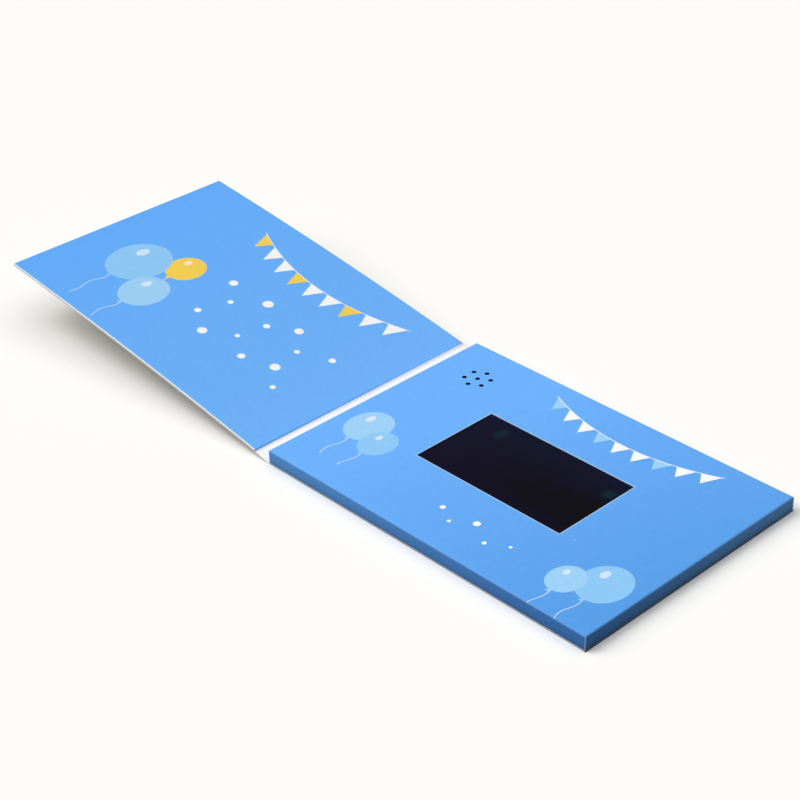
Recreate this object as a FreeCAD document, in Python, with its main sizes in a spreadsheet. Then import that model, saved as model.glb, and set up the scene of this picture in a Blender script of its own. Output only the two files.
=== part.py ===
import FreeCAD, Part
import os
import re
import Sketcher
from FreeCAD import Placement, Rotation, Vector

# Video brochure in the A5 landscape format: a folded card tray with a screen, a loudspeaker and their
# electronics, on an outer sheet whose spine strip and cover fold over it.
# The origin is the centre of the back panel's underside. +X runs away from the spine, +Y away from the
# reader and +Z up. The cover is modelled as it lies in use: open, and raised by the spring of its creases.

# Driving sizes in millimetres and degrees: name, value, meaning
SIZES = [
    # Outer sheet, spine and cover
    ("panel_length", 210, "long side of the finished A5 format"),
    ("panel_depth", 148, "short side of the finished A5 format"),
    ("sheet_paper", 0.3, "thickness of the outer sheet"),
    ("spine_width", 9.6, "spine strip, crease to crease"),
    ("spine_angle", 12.0, "rise of the open spine strip"),
    ("crease_gap", 0.05, "from a crease line to the paper on each side"),
    ("cover_angle", 8.3, "rise of the open cover, hinge to free edge"),
    ("cover_bow", 1.7, "how far the open cover bows up at mid length"),
    ("core_card", 0.5, "thickness of the card inside the cover"),
    ("liner_paper", 0.2, "thickness of the printed liner"),
    ("liner_inset", 1.7, "from the cover crease to the liner"),
    ("magnet_diameter", 10.0, "magnet in the cover"),
    ("magnet_clear", 0.2, "gap round the magnet in the core card"),
    ("slip_gap", 0.03, "gap where one piece slides into another"),
    ("overcut", 1.0, "how far a cutting shape reaches past a surface"),
    # Tray
    ("tray_inset", 0.3, "tray walls set in from the outer sheet's edges"),
    ("tray_height", 7.8, "height of the tray walls"),
    ("tray_card", 0.4, "thickness of the tray card"),
    ("fold_radius", 0.9, "outer radius of the folded edges"),
    ("flap_width", 14.0, "glue flap, measured from the wall's inner face"),
    ("flap_mitre", 1.2, "gap between neighbouring flaps at a corner"),
    ("corner_slit", 0.12, "cut line where two walls meet"),
    ("window_lap_x", 1.4, "card over the screen's view at its left and right"),
    ("window_lap_y", 1.7, "card over the screen's view at its near and far side"),
    ("sound_hole", 2.2, "diameter of a sound hole"),
    ("sound_ring", 7.1, "radius of the ring of sound holes"),
    ("port_length", 8.6, "slot for the charging plug along X"),
    ("port_height", 3.4, "slot for the charging plug along Z"),
    # Back board and foam
    ("inner_clear", 0.6, "gap from board and foam to the tray walls"),
    ("board_card", 0.8, "thickness of the back board"),
    ("pocket_clear", 0.5, "gap round a module in its foam pocket"),
    ("wire_channel", 6.0, "width of the wire channels in the foam"),
    # Screen module
    ("lcd_length", 105.5, "module outline along X"),
    ("lcd_depth", 67.2, "module outline along Y"),
    ("lcd_height", 2.9, "module thickness"),
    ("lcd_left", 50.65, "module from the spine edge"),
    ("tail_room", 6.0, "module from the main board"),
    ("lcd_tape", 0.2, "thickness of the tape frame on the bezel"),
    ("bezel_sheet", 0.2, "thickness of the steel bezel"),
    ("bezel_round", 0.5, "radius of the bezel's upright corners"),
    ("bezel_side", 4.05, "bezel at the view's left and right"),
    ("bezel_near", 3.1, "bezel at the view's near side"),
    ("bezel_far", 7.7, "bezel at the view's far side, over the driver ledge"),
    ("view_clear", 0.2, "gap from the polariser to the bezel"),
    ("glass_margin", 1.8, "glass beyond the view on each side"),
    ("glass_sheet", 0.5, "thickness of one glass"),
    ("glass_ledge", 4.4, "rear glass beyond the front glass"),
    ("glass_clear", 0.2, "gap from glass to frame"),
    ("film_stack", 0.3, "thickness of the optical films"),
    ("film_margin", 0.8, "films and light guide set in from the glass"),
    ("frame_floor", 0.5, "floor of the rear frame"),
    ("driver_length", 22.0, "driver chip along X"),
    ("driver_depth", 1.2, "driver chip along Y"),
    ("driver_height", 0.3, "driver chip thickness"),
    ("driver_gap", 0.6, "driver chip from the front glass"),
    ("led_length", 2.6, "one LED along X"),
    ("led_depth", 0.6, "one LED along Y"),
    ("led_count", 9, "LEDs in the strip"),
    ("led_margin", 3.9, "centre of the first LED from the strip's end"),
    ("led_strip", 0.2, "thickness of the LED strip's flex"),
    ("tail_width", 26.0, "flex tail along X"),
    ("tail_sheet", 0.2, "thickness of the flex tail"),
    ("tail_bond", 1.4, "tail bonded to the rear glass"),
    ("tail_bend", 0.8, "inner radius of the tail's bends"),
    ("tail_pads", 4.0, "tail soldered to the main board"),
    # Main board
    ("pcb_length", 62.0, "main board along X"),
    ("pcb_depth", 30.0, "main board along Y"),
    ("pcb_sheet", 1.0, "thickness of the main board"),
    ("pcb_shift", 6.4, "main board centre from the screen's centre, towards the spine"),
    ("pcb_wall_gap", 0.4, "main board to the far wall"),
    ("pcb_round", 1.0, "corner radius"),
    ("pcb_tape", 0.3, "thickness of the board's tape"),
    ("tape_margin", 2.5, "mounting tapes set in from what they hold"),
    ("pcb_hole", 1.8, "diameter of the tooling holes"),
    ("pcb_hole_inset", 2.6, "tooling hole from the board's edges"),
    ("lead_sheet", 0.15, "thickness of the chips' leads"),
    ("lead_share", 0.45, "width of a lead as a share of its pitch"),
    ("knee_share", 0.4, "bend of a lead as a share of its reach"),
    ("mould_bevel", 0.15, "bevel round the top of the chips' moulding"),
    ("mould_lift", 0.1, "moulding above the board"),
    # Chips. Their x is counted from the board's left edge and their y from its far edge.
    ("processor_x", 33.0, "video processor centre"),
    ("processor_y", 13.0, "video processor centre"),
    ("processor_length", 10.0, "moulding along X"),
    ("processor_depth", 10.0, "moulding along Y"),
    ("processor_height", 1.4, "height above the board"),
    ("processor_pins", 7, "leads on a side"),
    ("processor_pitch", 1.27, "lead spacing"),
    ("processor_reach", 1.0, "leads beyond the moulding"),
    ("memory_x", 51.5, "memory chip centre"),
    ("memory_y", 13.0, "memory chip centre"),
    ("memory_length", 11.5, "memory chip along X"),
    ("memory_depth", 13.0, "memory chip along Y"),
    ("memory_height", 1.0, "memory chip above its solder balls"),
    ("memory_base", 10.5, "solder ball field along X"),
    ("memory_base_depth", 12.0, "solder ball field along Y"),
    ("memory_lift", 0.25, "height of the solder balls"),
    ("amplifier_x", 8.5, "audio amplifier centre"),
    ("amplifier_y", 17.0, "audio amplifier centre"),
    ("amplifier_length", 4.9, "moulding along X"),
    ("amplifier_depth", 3.9, "moulding along Y"),
    ("amplifier_height", 1.5, "height above the board"),
    ("amplifier_pins", 4, "leads on a side"),
    ("amplifier_pitch", 1.27, "lead spacing"),
    ("amplifier_reach", 1.05, "leads beyond the moulding"),
    ("charger_x", 22.5, "charge controller centre"),
    ("charger_y", 4.5, "charge controller centre"),
    ("charger_length", 2.9, "moulding along X"),
    ("charger_depth", 1.6, "moulding along Y"),
    ("charger_height", 1.1, "height above the board"),
    ("charger_pins", 3, "leads on a side"),
    ("charger_pitch", 0.95, "lead spacing"),
    ("charger_reach", 0.6, "leads beyond the moulding"),
    ("sensor_x", 5.0, "magnet sensor centre"),
    ("sensor_y", 9.0, "magnet sensor centre"),
    ("sensor_length", 2.9, "moulding along X"),
    ("sensor_depth", 1.6, "moulding along Y"),
    ("sensor_height", 1.1, "height above the board"),
    ("sensor_pins", 2, "leads on a side"),
    ("sensor_pitch", 1.9, "lead spacing"),
    ("sensor_reach", 0.5, "leads beyond the moulding"),
    # Crystal and the rows of small parts, placed as the chips are
    ("crystal_x", 23.0, "crystal centre"),
    ("crystal_y", 19.5, "crystal centre"),
    ("crystal_length", 5.0, "crystal can along X"),
    ("crystal_depth", 3.2, "crystal can along Y"),
    ("crystal_height", 1.1, "crystal can height"),
    ("crystal_corner", 0.6, "corner radius of the can"),
    ("inductor_x", 22.5, "power inductors' centre"),
    ("inductor_y", 14.0, "first power inductor's centre"),
    ("inductor_length", 4.0, "power inductor along X"),
    ("inductor_depth", 4.0, "power inductor along Y"),
    ("inductor_height", 1.9, "power inductor height"),
    ("inductor_pitch", 5.0, "distance between the power inductors"),
    ("inductor_count", 2, "power inductors"),
    ("capacitor_x", 30.0, "first capacitor's centre"),
    ("capacitor_y", 24.0, "capacitors' centre"),
    ("capacitor_length", 0.8, "capacitor along X"),
    ("capacitor_depth", 1.6, "capacitor along Y"),
    ("capacitor_height", 0.8, "capacitor height"),
    ("capacitor_pitch", 1.6, "capacitor spacing"),
    ("capacitor_count", 9, "capacitors"),
    ("resistor_x", 28.0, "first resistor's centre"),
    ("resistor_y", 3.5, "resistors' centre"),
    ("resistor_length", 0.5, "resistor along X"),
    ("resistor_depth", 1.0, "resistor along Y"),
    ("resistor_height", 0.35, "resistor height"),
    ("resistor_pitch", 1.1, "resistor spacing"),
    ("resistor_count", 12, "resistors"),
    # Charging socket
    ("usb_inset", 14.0, "socket centre from the board's left edge"),
    ("usb_length", 7.5, "shell along X"),
    ("usb_height", 2.6, "shell height"),
    ("usb_depth", 5.0, "shell along Y"),
    ("usb_wall", 0.3, "shell thickness"),
    ("usb_shoulder", 1.3, "height of the shell's full width"),
    ("usb_taper", 0.9, "side taper of the shell"),
    ("insert_depth", 1.2, "insert's block at the shell's back"),
    ("tongue_length", 3.8, "tongue along X"),
    ("tongue_height", 0.7, "tongue thickness"),
    ("tongue_setback", 0.8, "tongue behind the shell's mouth"),
    ("contact_pitch", 0.65, "contact spacing"),
    ("contact_width", 0.35, "one contact"),
    ("contact_sheet", 0.1, "contact thickness"),
    ("contact_count", 5, "contacts"),
    # Battery
    ("cell_gap", 7.85, "pouch cell from the screen module"),
    ("cell_margin", 5.3, "pouch cell from the tray wall"),
    ("cell_depth", 50.0, "pouch cell along Y"),
    ("cell_height", 5.0, "pouch cell thickness"),
    ("cell_round", 1.6, "edge radius of the pouch"),
    ("cell_inset", 78.0, "pouch cell centre from the far edge"),
    ("cell_tape", 0.2, "thickness of the cell's tape"),
    ("seal_depth", 4.5, "sealed terrace at the cell's end"),
    ("seal_sheet", 0.4, "thickness of the terrace"),
    ("seal_level", 1.2, "terrace above the cell's underside"),
    ("guard_margin", 3.0, "protection board set in from the pouch's sides"),
    ("guard_depth", 3.6, "protection board along Y"),
    ("guard_sheet", 0.8, "thickness of the protection board"),
    ("wire_diameter", 1.0, "insulated lead"),
    ("wire_pitch", 1.8, "distance between two leads"),
    ("wire_bend", 4.0, "bend radius of a lead"),
    ("wire_run", 11.9, "run of the battery leads from the board's far edge"),
    ("wire_pad", 2.4, "lead's end on the board, from the board's edge"),
    # Loudspeaker
    ("speaker_inset", 27.1, "loudspeaker centre from the spine edge and the far edge"),
    ("speaker_diameter", 28.0, "loudspeaker outside"),
    ("speaker_height", 4.4, "loudspeaker height without its gasket"),
    ("speaker_wall", 1.6, "frame wall, which carries the surround"),
    ("speaker_floor", 0.5, "frame floor"),
    ("gasket_height", 0.6, "foam gasket"),
    ("mesh_sheet", 0.2, "dust mesh"),
    ("cone_sheet", 0.15, "cone and surround"),
    ("cone_radius", 9.4, "moving cone"),
    ("cone_dip", 0.6, "depth of the cone's dished middle"),
    ("dip_radius", 4.0, "radius of the dished middle"),
    ("cone_gap", 0.25, "cone to surround"),
    ("coil_radius", 6.6, "voice coil, mean radius"),
    ("coil_wall", 0.4, "voice coil wall"),
    ("coil_height", 2.0, "voice coil below the cone"),
    ("coil_gap", 0.3, "running gap on each side of the coil"),
    ("cup_wall", 0.8, "magnet cup wall and floor"),
    ("cup_height", 2.9, "magnet cup"),
    ("pole_plate", 0.6, "pole plate"),
]

ALIASES = {name for name, value, meaning in SIZES}

doc = FreeCAD.newDocument("VideoBrochure")
sheet = doc.addObject("Spreadsheet::Sheet", "Sizes")
for row, (name, value, meaning) in enumerate(SIZES, start=1):
    sheet.set("A%d" % row, name)
    sheet.set("B%d" % row, str(value))
    sheet.set("C%d" % row, meaning)
    sheet.setAlias("B%d" % row, name)
doc.recompute()

sub_parts = []


# Helpers


def formula(text):
    """Turn bare size names into references to the sheet."""
    return re.sub(r"[a-z]\w*", lambda m: "Sizes." + m.group() if m.group() in ALIASES else m.group(), text)


def amount(text):
    """Present value of a formula, used as a sketch's first guess."""
    return float(sheet.evalExpression(formula(text)))


def place(item, x="0", y="0", z="0", tilt=None):
    """Bind an object's position, and its tilt about +Y in degrees, to formulas."""
    if tilt is not None:
        item.Placement = Placement(Vector(0, 0, 0), Rotation(Vector(0, 1, 0), 1))
        item.setExpression("Placement.Rotation.Angle", formula("(" + tilt + ") * 1 deg"))
    for axis, text in zip("xyz", (x, y, z)):
        item.setExpression("Placement.Base." + axis, formula(text))


def new_body(label, x="0", y="0", z="0", tilt=None):
    """PartDesign body that becomes one sub-part."""
    body = doc.addObject("PartDesign::Body", label)
    body.Label = label
    place(body, x, y, z, tilt)
    sub_parts.append(body)
    return body


def new_sketch(body, name, plane="XY_Plane", x="0", y="0", z="0"):
    """Sketch on one of the body's own origin planes, shifted by formulas in that plane's own axes."""
    sketch = body.newObject("Sketcher::SketchObject", name)
    support = next(item for item in body.Origin.OriginFeatures if item.Role == plane)
    sketch.AttachmentSupport = [(support, "")]
    sketch.MapMode = "FlatFace"
    for axis, text in zip("xyz", (x, y, z)):
        sketch.setExpression("AttachmentOffset.Base." + axis, formula(text))
    return sketch


def tilt_sketch(sketch, angle):
    """Turn a sketch about +Y by a formula that gives an angle."""
    sketch.AttachmentOffset = Placement(sketch.AttachmentOffset.Base, Rotation(Vector(0, 1, 0), 1))
    sketch.setExpression("AttachmentOffset.Rotation.Angle", formula(angle))


def bind(sketch, constraint, text):
    """Add a dimension and bind it to a formula."""
    sketch.setExpression("Constraints[%d]" % sketch.addConstraint(constraint), formula(text))


def rectangle(sketch, length, depth):
    """Rectangle centred on the sketch origin."""
    half_x = amount(length) / 2
    half_y = amount(depth) / 2
    corners = [
        Vector(-half_x, -half_y),
        Vector(half_x, -half_y),
        Vector(half_x, half_y),
        Vector(-half_x, half_y),
    ]
    first = sketch.GeometryCount
    for i in range(4):
        sketch.addGeometry(Part.LineSegment(corners[i], corners[(i + 1) % 4]), False)
    for i in range(4):
        sketch.addConstraint(Sketcher.Constraint("Coincident", first + i, 2, first + (i + 1) % 4, 1))
        sketch.addConstraint(Sketcher.Constraint("Vertical" if i % 2 else "Horizontal", first + i))
    sketch.addConstraint(Sketcher.Constraint("Symmetric", first, 1, first + 2, 1, -1, 1))
    bind(sketch, Sketcher.Constraint("DistanceX", first, 1, first, 2, 2 * half_x), length)
    bind(sketch, Sketcher.Constraint("DistanceY", first + 1, 1, first + 1, 2, 2 * half_y), depth)


def circle(sketch, diameter, x="0", y="0"):
    """Circle at a formula-bound place."""
    centre = Vector(amount(x), amount(y))
    index = sketch.addGeometry(Part.Circle(centre, Vector(0, 0, 1), amount(diameter) / 2), False)
    bind(sketch, Sketcher.Constraint("Diameter", index, amount(diameter)), diameter)
    bind(sketch, Sketcher.Constraint("DistanceX", -1, 1, index, 3, centre.x), x)
    bind(sketch, Sketcher.Constraint("DistanceY", -1, 1, index, 3, centre.y), y)


def arc_between(start, end, radius, turn):
    """Arc from start to end. turn is 1 for anticlockwise and -1 for clockwise."""
    chord = end - start
    rise = max(radius ** 2 - (chord.Length / 2) ** 2, 0) ** 0.5
    normal = Vector(-chord.y, chord.x, 0).normalize()
    centre = (start + end) * 0.5 + normal * rise * turn
    middle = centre - normal * radius * turn
    return Part.Arc(start, middle, end)


def outline(sketch, corners, closed=True):
    """Chain of lines and arcs through corners given by formulas.

    A corner (x, y) starts a line and a corner (x, y, radius, turn) starts an arc of less than a half circle.
    """
    points = [Vector(amount(corner[0]), amount(corner[1]), 0) for corner in corners]
    count = len(corners) if closed else len(corners) - 1
    starts = []
    ends = []
    for i in range(count):
        start = points[i]
        end = points[(i + 1) % len(points)]
        if len(corners[i]) == 2:
            index = sketch.addGeometry(Part.LineSegment(start, end), False)
            starts.append((index, 1))
            ends.append((index, 2))
        else:
            radius, turn = corners[i][2:]
            index = sketch.addGeometry(arc_between(start, end, amount(radius), turn), False)
            bind(sketch, Sketcher.Constraint("Radius", index, amount(radius)), radius)
            starts.append((index, 1 if turn > 0 else 2))
            ends.append((index, 2 if turn > 0 else 1))
    joints = count if closed else count - 1
    for i in range(joints):
        sketch.addConstraint(Sketcher.Constraint("Coincident", *ends[i], *starts[(i + 1) % count]))
    places = starts if closed else starts + [ends[-1]]
    for (index, end), corner, point in zip(places, corners, points):
        bind(sketch, Sketcher.Constraint("DistanceX", -1, 1, index, end, point.x), corner[0])
        bind(sketch, Sketcher.Constraint("DistanceY", -1, 1, index, end, point.y), corner[1])


def pad(body, sketch, length, midplane=False):
    """Raise a sketch along its normal, or to both sides of its plane."""
    feature = body.newObject("PartDesign::Pad", sketch.Name + "_pad")
    feature.Profile = sketch
    feature.setExpression("Length", formula(length))
    feature.Midplane = midplane
    sketch.Visibility = False
    return feature


def pocket(body, sketch, length, reverse=False):
    """Cut a sketch against its normal, or along it when reversed."""
    feature = body.newObject("PartDesign::Pocket", sketch.Name + "_pocket")
    feature.Profile = sketch
    feature.setExpression("Length", formula(length))
    feature.Reversed = reverse
    sketch.Visibility = False
    return feature


def row_of(body, original, sketch, reach, count, axis="H_Axis"):
    """Repeat a feature along the sketch's axis. reach is the distance from the first to the last."""
    doc.recompute()
    feature = body.newObject("PartDesign::LinearPattern", original.Name + "_row")
    feature.Originals = [original]
    feature.Direction = (sketch, [axis])
    feature.setExpression("Length", formula(reach))
    feature.setExpression("Occurrences", formula(count))
    body.Tip = feature
    return feature


def ring_of(body, original, sketch, count):
    """Repeat a feature round the sketch's normal."""
    doc.recompute()
    feature = body.newObject("PartDesign::PolarPattern", original.Name + "_ring")
    feature.Originals = [original]
    feature.Axis = (sketch, ["N_Axis"])
    feature.Angle = 360
    feature.Occurrences = count
    body.Tip = feature
    return feature


def ease_edges(body, name, chosen, size, kind):
    """Round or bevel the tip's edges that the test picks by their middle and direction."""
    doc.recompute()
    base = body.Tip
    names = []
    for number, edge in enumerate(base.Shape.Edges, start=1):
        middle = edge.valueAt((edge.FirstParameter + edge.LastParameter) / 2)
        if chosen(middle, edge):
            names.append("Edge%d" % number)
    feature = body.newObject("PartDesign::" + kind, name)
    feature.Base = (base, names)
    feature.setExpression("Radius" if kind == "Fillet" else "Size", formula(size))


def round_edges(body, name, chosen, radius):
    ease_edges(body, name, chosen, radius, "Fillet")


def bevel_edges(body, name, chosen, size):
    ease_edges(body, name, chosen, size, "Chamfer")


def near(a, b):
    return abs(a - b) < 1e-4


def upright(edge):
    return near(abs(edge.tangentAt(edge.FirstParameter).z), 1)


def plate(label, length, depth, height, x="0", y="0", z="0"):
    """Rectangular sheet or block, centred on x and y, from z upwards."""
    body = new_body(label, x, y, z)
    sketch = new_sketch(body, label + "_outline")
    rectangle(sketch, length, depth)
    pad(body, sketch, height)
    return body


def shifted_pocket(body, name, length, depth, x, y, z, cut):
    """Rectangular pocket, cut down from the level z."""
    sketch = new_sketch(body, name, x=x, y=y, z=z)
    rectangle(sketch, length, depth)
    return pocket(body, sketch, cut)


# Levels and places shared by several sub-parts, as formulas

TRAY_LENGTH = "(panel_length - 2 * tray_inset)"
TRAY_DEPTH = "(panel_depth - 2 * tray_inset)"
INNER_LENGTH = "(" + TRAY_LENGTH + " - 2 * tray_card)"
INNER_DEPTH = "(" + TRAY_DEPTH + " - 2 * tray_card)"
BEND_INNER = "(fold_radius - tray_card)"
FLAP_TOP = "(sheet_paper + tray_card)"
BOARD_TOP = "(" + FLAP_TOP + " + board_card)"
TRAY_UNDERSIDE = "(sheet_paper + tray_height - tray_card)"

PCB_BASE = "(" + BOARD_TOP + " + pcb_tape)"
PCB_TOP = "(" + PCB_BASE + " + pcb_sheet)"
PCB_EDGE_Y = "(" + INNER_DEPTH + " / 2 - pcb_wall_gap)"
PCB_Y = "(" + PCB_EDGE_Y + " - pcb_depth / 2)"
PCB_NEAR_Y = "(" + PCB_EDGE_Y + " - pcb_depth)"

LCD_TOP = "(" + TRAY_UNDERSIDE + " - lcd_tape)"
LCD_BASE = "(" + LCD_TOP + " - lcd_height)"
LCD_X = "(lcd_left + lcd_length / 2 - panel_length / 2)"
LCD_Y = "(" + PCB_NEAR_Y + " - tail_room - lcd_depth / 2)"
LCD_RIGHT = "(lcd_left + lcd_length - panel_length / 2)"
VIEW_LENGTH = "(lcd_length - 2 * bezel_side)"
VIEW_DEPTH = "(lcd_depth - bezel_near - bezel_far)"
VIEW_SHIFT = "((bezel_far - bezel_near) / 2)"
VIEW_Y = "(" + LCD_Y + " - " + VIEW_SHIFT + ")"
GLASS_LENGTH = "(" + VIEW_LENGTH + " + 2 * glass_margin)"
GLASS_DEPTH = "(" + VIEW_DEPTH + " + 2 * glass_margin)"
GLASS_FRONT = "(" + LCD_TOP + " - bezel_sheet - glass_sheet)"
GLASS_REAR = "(" + GLASS_FRONT + " - glass_sheet)"
GLASS_EDGE_Y = "(" + VIEW_Y + " + " + GLASS_DEPTH + " / 2)"

PCB_X = "(" + LCD_X + " - pcb_shift)"
PCB_LEFT = "(" + PCB_X + " - pcb_length / 2)"
PCB_RIGHT = "(" + PCB_X + " + pcb_length / 2)"

CELL_BASE = "(" + BOARD_TOP + " + cell_tape)"
CELL_LEFT = "(" + LCD_RIGHT + " + cell_gap)"
CELL_RIGHT = "(" + INNER_LENGTH + " / 2 - cell_margin)"
CELL_X = "((" + CELL_LEFT + " + " + CELL_RIGHT + ") / 2)"
CELL_LENGTH = "(" + CELL_RIGHT + " - " + CELL_LEFT + ")"
CELL_Y = "(panel_depth / 2 - cell_inset)"
CELL_END_Y = "(" + CELL_Y + " + cell_depth / 2)"
SEAL_TOP = "(" + CELL_BASE + " + seal_level + seal_sheet)"
WIRE_RUN_Y = "(" + PCB_EDGE_Y + " - wire_run)"

SPEAKER_X = "(speaker_inset - panel_length / 2)"
SPEAKER_Y = "(panel_depth / 2 - speaker_inset)"
SPEAKER_TOP = "(" + TRAY_UNDERSIDE + " - mesh_sheet - gasket_height)"
SPEAKER_BASE = "(" + SPEAKER_TOP + " - speaker_height)"


# Outer sheet


def build_back_panel():
    plate("back_panel", "panel_length", "panel_depth", "sheet_paper")


def build_spine_strip():
    """Unprinted strip between the two creases. Its upper, inner face carries both crease lines."""
    body = new_body("spine_strip", "-panel_length / 2", "0", "sheet_paper", "spine_angle")
    sketch = new_sketch(body, "spine_section", "XZ_Plane")
    outline(sketch, [
        ("-crease_gap", "0"),
        ("-spine_width + crease_gap", "0"),
        ("-spine_width + crease_gap", "-sheet_paper"),
        ("-crease_gap", "-sheet_paper"),
    ])
    pad(body, sketch, "panel_depth", midplane=True)


# Cover. Its sub-parts share one placement: the cover crease, turned by the cover's angle.
# The bowed layers are concentric arcs whose chord joins the crease to the free edge.

COVER_X = "-panel_length / 2 - spine_width * cos(spine_angle * 1 deg)"
COVER_Z = "sheet_paper + spine_width * sin(spine_angle * 1 deg)"
BOW_RADIUS = "((panel_length ^ 2 / 4 + cover_bow ^ 2) / (2 * cover_bow))"
BOW_CENTRE = "(cover_bow - " + BOW_RADIUS + ")"


def cover_body(label):
    return new_body(label, COVER_X, "0", COVER_Z, "cover_angle")


def bowed_layer(label, low, high, start):
    """Layer of the cover between two levels, from a distance off the crease to the free edge."""
    body = cover_body(label)
    sketch = new_sketch(body, label + "_section", "XZ_Plane")
    centre = Vector(-amount("panel_length") / 2, amount(BOW_CENTRE), 0)
    near_x = "-(" + start + ")"
    far_x = "-panel_length"
    levels = (low, high)
    for level in levels:
        radius = amount(BOW_RADIUS + " + " + level)
        ends = []
        for x in (amount(near_x), amount(far_x)):
            ends.append(Vector(x, centre.y + (radius ** 2 - (x - centre.x) ** 2) ** 0.5, 0))
        sketch.addGeometry(Part.Arc(ends[0], centre + Vector(0, radius, 0), ends[1]), False)
    sketch.addGeometry(Part.LineSegment(sketch.getPoint(0, 1), sketch.getPoint(1, 1)), False)
    sketch.addGeometry(Part.LineSegment(sketch.getPoint(0, 2), sketch.getPoint(1, 2)), False)
    for line, end in ((2, 1), (3, 2)):
        sketch.addConstraint(Sketcher.Constraint("Coincident", line, 1, 0, end))
        sketch.addConstraint(Sketcher.Constraint("Coincident", line, 2, 1, end))
        sketch.addConstraint(Sketcher.Constraint("Vertical", line))
    sketch.addConstraint(Sketcher.Constraint("Coincident", 0, 3, 1, 3))
    for arc, level in enumerate(levels):
        text = BOW_RADIUS + " + " + level
        bind(sketch, Sketcher.Constraint("Radius", arc, amount(text)), text)
    bind(sketch, Sketcher.Constraint("DistanceX", -1, 1, 0, 3, centre.x), "-panel_length / 2")
    bind(sketch, Sketcher.Constraint("DistanceY", -1, 1, 0, 3, centre.y), BOW_CENTRE)
    bind(sketch, Sketcher.Constraint("DistanceX", -1, 1, 0, 1, amount(near_x)), near_x)
    bind(sketch, Sketcher.Constraint("DistanceX", -1, 1, 0, 2, amount(far_x)), far_x)
    pad(body, sketch, "panel_depth", midplane=True)
    return body


# The magnet lies over the sensor on the main board when the cover is closed.
SENSOR_X = "(" + PCB_LEFT + " + sensor_x)"
SENSOR_Y = "(" + PCB_EDGE_Y + " - sensor_y)"
MAGNET_X = "(-panel_length / 2 - " + SENSOR_X + ")"
MAGNET_Z = "(sqrt(" + BOW_RADIUS + " ^ 2 - (" + SENSOR_X + ") ^ 2) + " + BOW_CENTRE + ")"


def build_cover():
    bowed_layer("cover_outer_sheet", "-sheet_paper", "0", "crease_gap")
    core = bowed_layer("cover_core_card", "0", "core_card", "liner_inset")
    hole = new_sketch(core, "magnet_hole", x=MAGNET_X, y=SENSOR_Y, z="cover_bow + core_card + overcut")
    circle(hole, "magnet_diameter + 2 * magnet_clear")
    pocket(core, hole, "cover_bow + core_card + 2 * overcut")
    bowed_layer("cover_liner", "core_card", "core_card + liner_paper", "liner_inset")
    magnet = cover_body("cover_magnet")
    face = new_sketch(magnet, "magnet_face", x=MAGNET_X, y=SENSOR_Y, z=MAGNET_Z + " + slip_gap")
    tilt_sketch(face, "asin(-(" + SENSOR_X + ") / " + BOW_RADIUS + ")")
    circle(face, "magnet_diameter")
    pad(magnet, face, "core_card - 2 * slip_gap")


# Tray: one card blank, folded down at the four sides and in again as glue flaps


def build_tray():
    body = new_body("tray_shell", z="sheet_paper")
    block = new_sketch(body, "tray_block")
    rectangle(block, TRAY_LENGTH, TRAY_DEPTH)
    pad(body, block, "tray_height")
    hollow = new_sketch(body, "tray_hollow")
    rectangle(hollow, INNER_LENGTH, INNER_DEPTH)
    pocket(body, hollow, "tray_height - tray_card", reverse=True)
    flaps = new_sketch(body, "tray_flaps")
    rectangle(flaps, INNER_LENGTH, INNER_DEPTH)
    rectangle(flaps, INNER_LENGTH + " - 2 * flap_width", INNER_DEPTH + " - 2 * flap_width")
    pad(body, flaps, "tray_card")

    top = amount("tray_height")
    outer_x = amount(TRAY_LENGTH) / 2
    outer_y = amount(TRAY_DEPTH) / 2
    inner_x = amount(INNER_LENGTH) / 2
    inner_y = amount(INNER_DEPTH) / 2
    card = amount("tray_card")

    def on_outer(point, edge):
        return near(abs(point.x), outer_x) or near(abs(point.y), outer_y)

    def on_inner(point, edge):
        return near(abs(point.x), inner_x) or near(abs(point.y), inner_y)

    round_edges(
        body, "outer_folds",
        lambda point, edge: on_outer(point, edge) and not upright(edge),
        "fold_radius",
    )
    round_edges(
        body, "inner_folds",
        lambda point, edge: on_inner(point, edge) and (near(point.z, top - card) or near(point.z, card)),
        BEND_INNER,
    )

    # Mitred flap ends, and the cut line between two walls
    for name, width, height, length, depth, start, end in (
        ("flap_mitres", "flap_mitre", "tray_card + " + BEND_INNER,
         INNER_LENGTH, INNER_DEPTH, "0", "flap_width + overcut"),
        ("corner_slits", "corner_slit", "tray_height - fold_radius",
         TRAY_LENGTH, TRAY_DEPTH, "overcut", "tray_card + slip_gap"),
    ):
        cuts = new_sketch(body, name, z="-overcut")
        for side_x in ("", "-"):
            for side_y in ("", "-"):
                corner_strip(cuts, side_x, side_y, width, length, depth, start, end)
        pocket(body, cuts, height + " + overcut", reverse=True)

    window = new_sketch(body, "screen_window", x=LCD_X, y=VIEW_Y, z="tray_height")
    rectangle(window, VIEW_LENGTH + " - 2 * window_lap_x", VIEW_DEPTH + " - 2 * window_lap_y")
    pocket(body, window, "tray_card")
    middle_hole = new_sketch(body, "sound_hole_middle", x=SPEAKER_X, y=SPEAKER_Y, z="tray_height")
    circle(middle_hole, "sound_hole")
    pocket(body, middle_hole, "tray_card")
    ring_hole = new_sketch(body, "sound_hole_outer", x=SPEAKER_X, y=SPEAKER_Y, z="tray_height")
    circle(ring_hole, "sound_hole", y="sound_ring")
    ring_of(body, pocket(body, ring_hole, "tray_card"), ring_hole, 6)

    port = new_sketch(
        body, "charging_port", "XZ_Plane",
        x=PCB_LEFT + " + usb_inset", y=PCB_TOP + " + usb_height / 2 - sheet_paper", z="-panel_depth / 2",
    )
    stadium(port, "port_length", "port_height")
    pocket(body, port, "tray_inset + tray_card + overcut")


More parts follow.
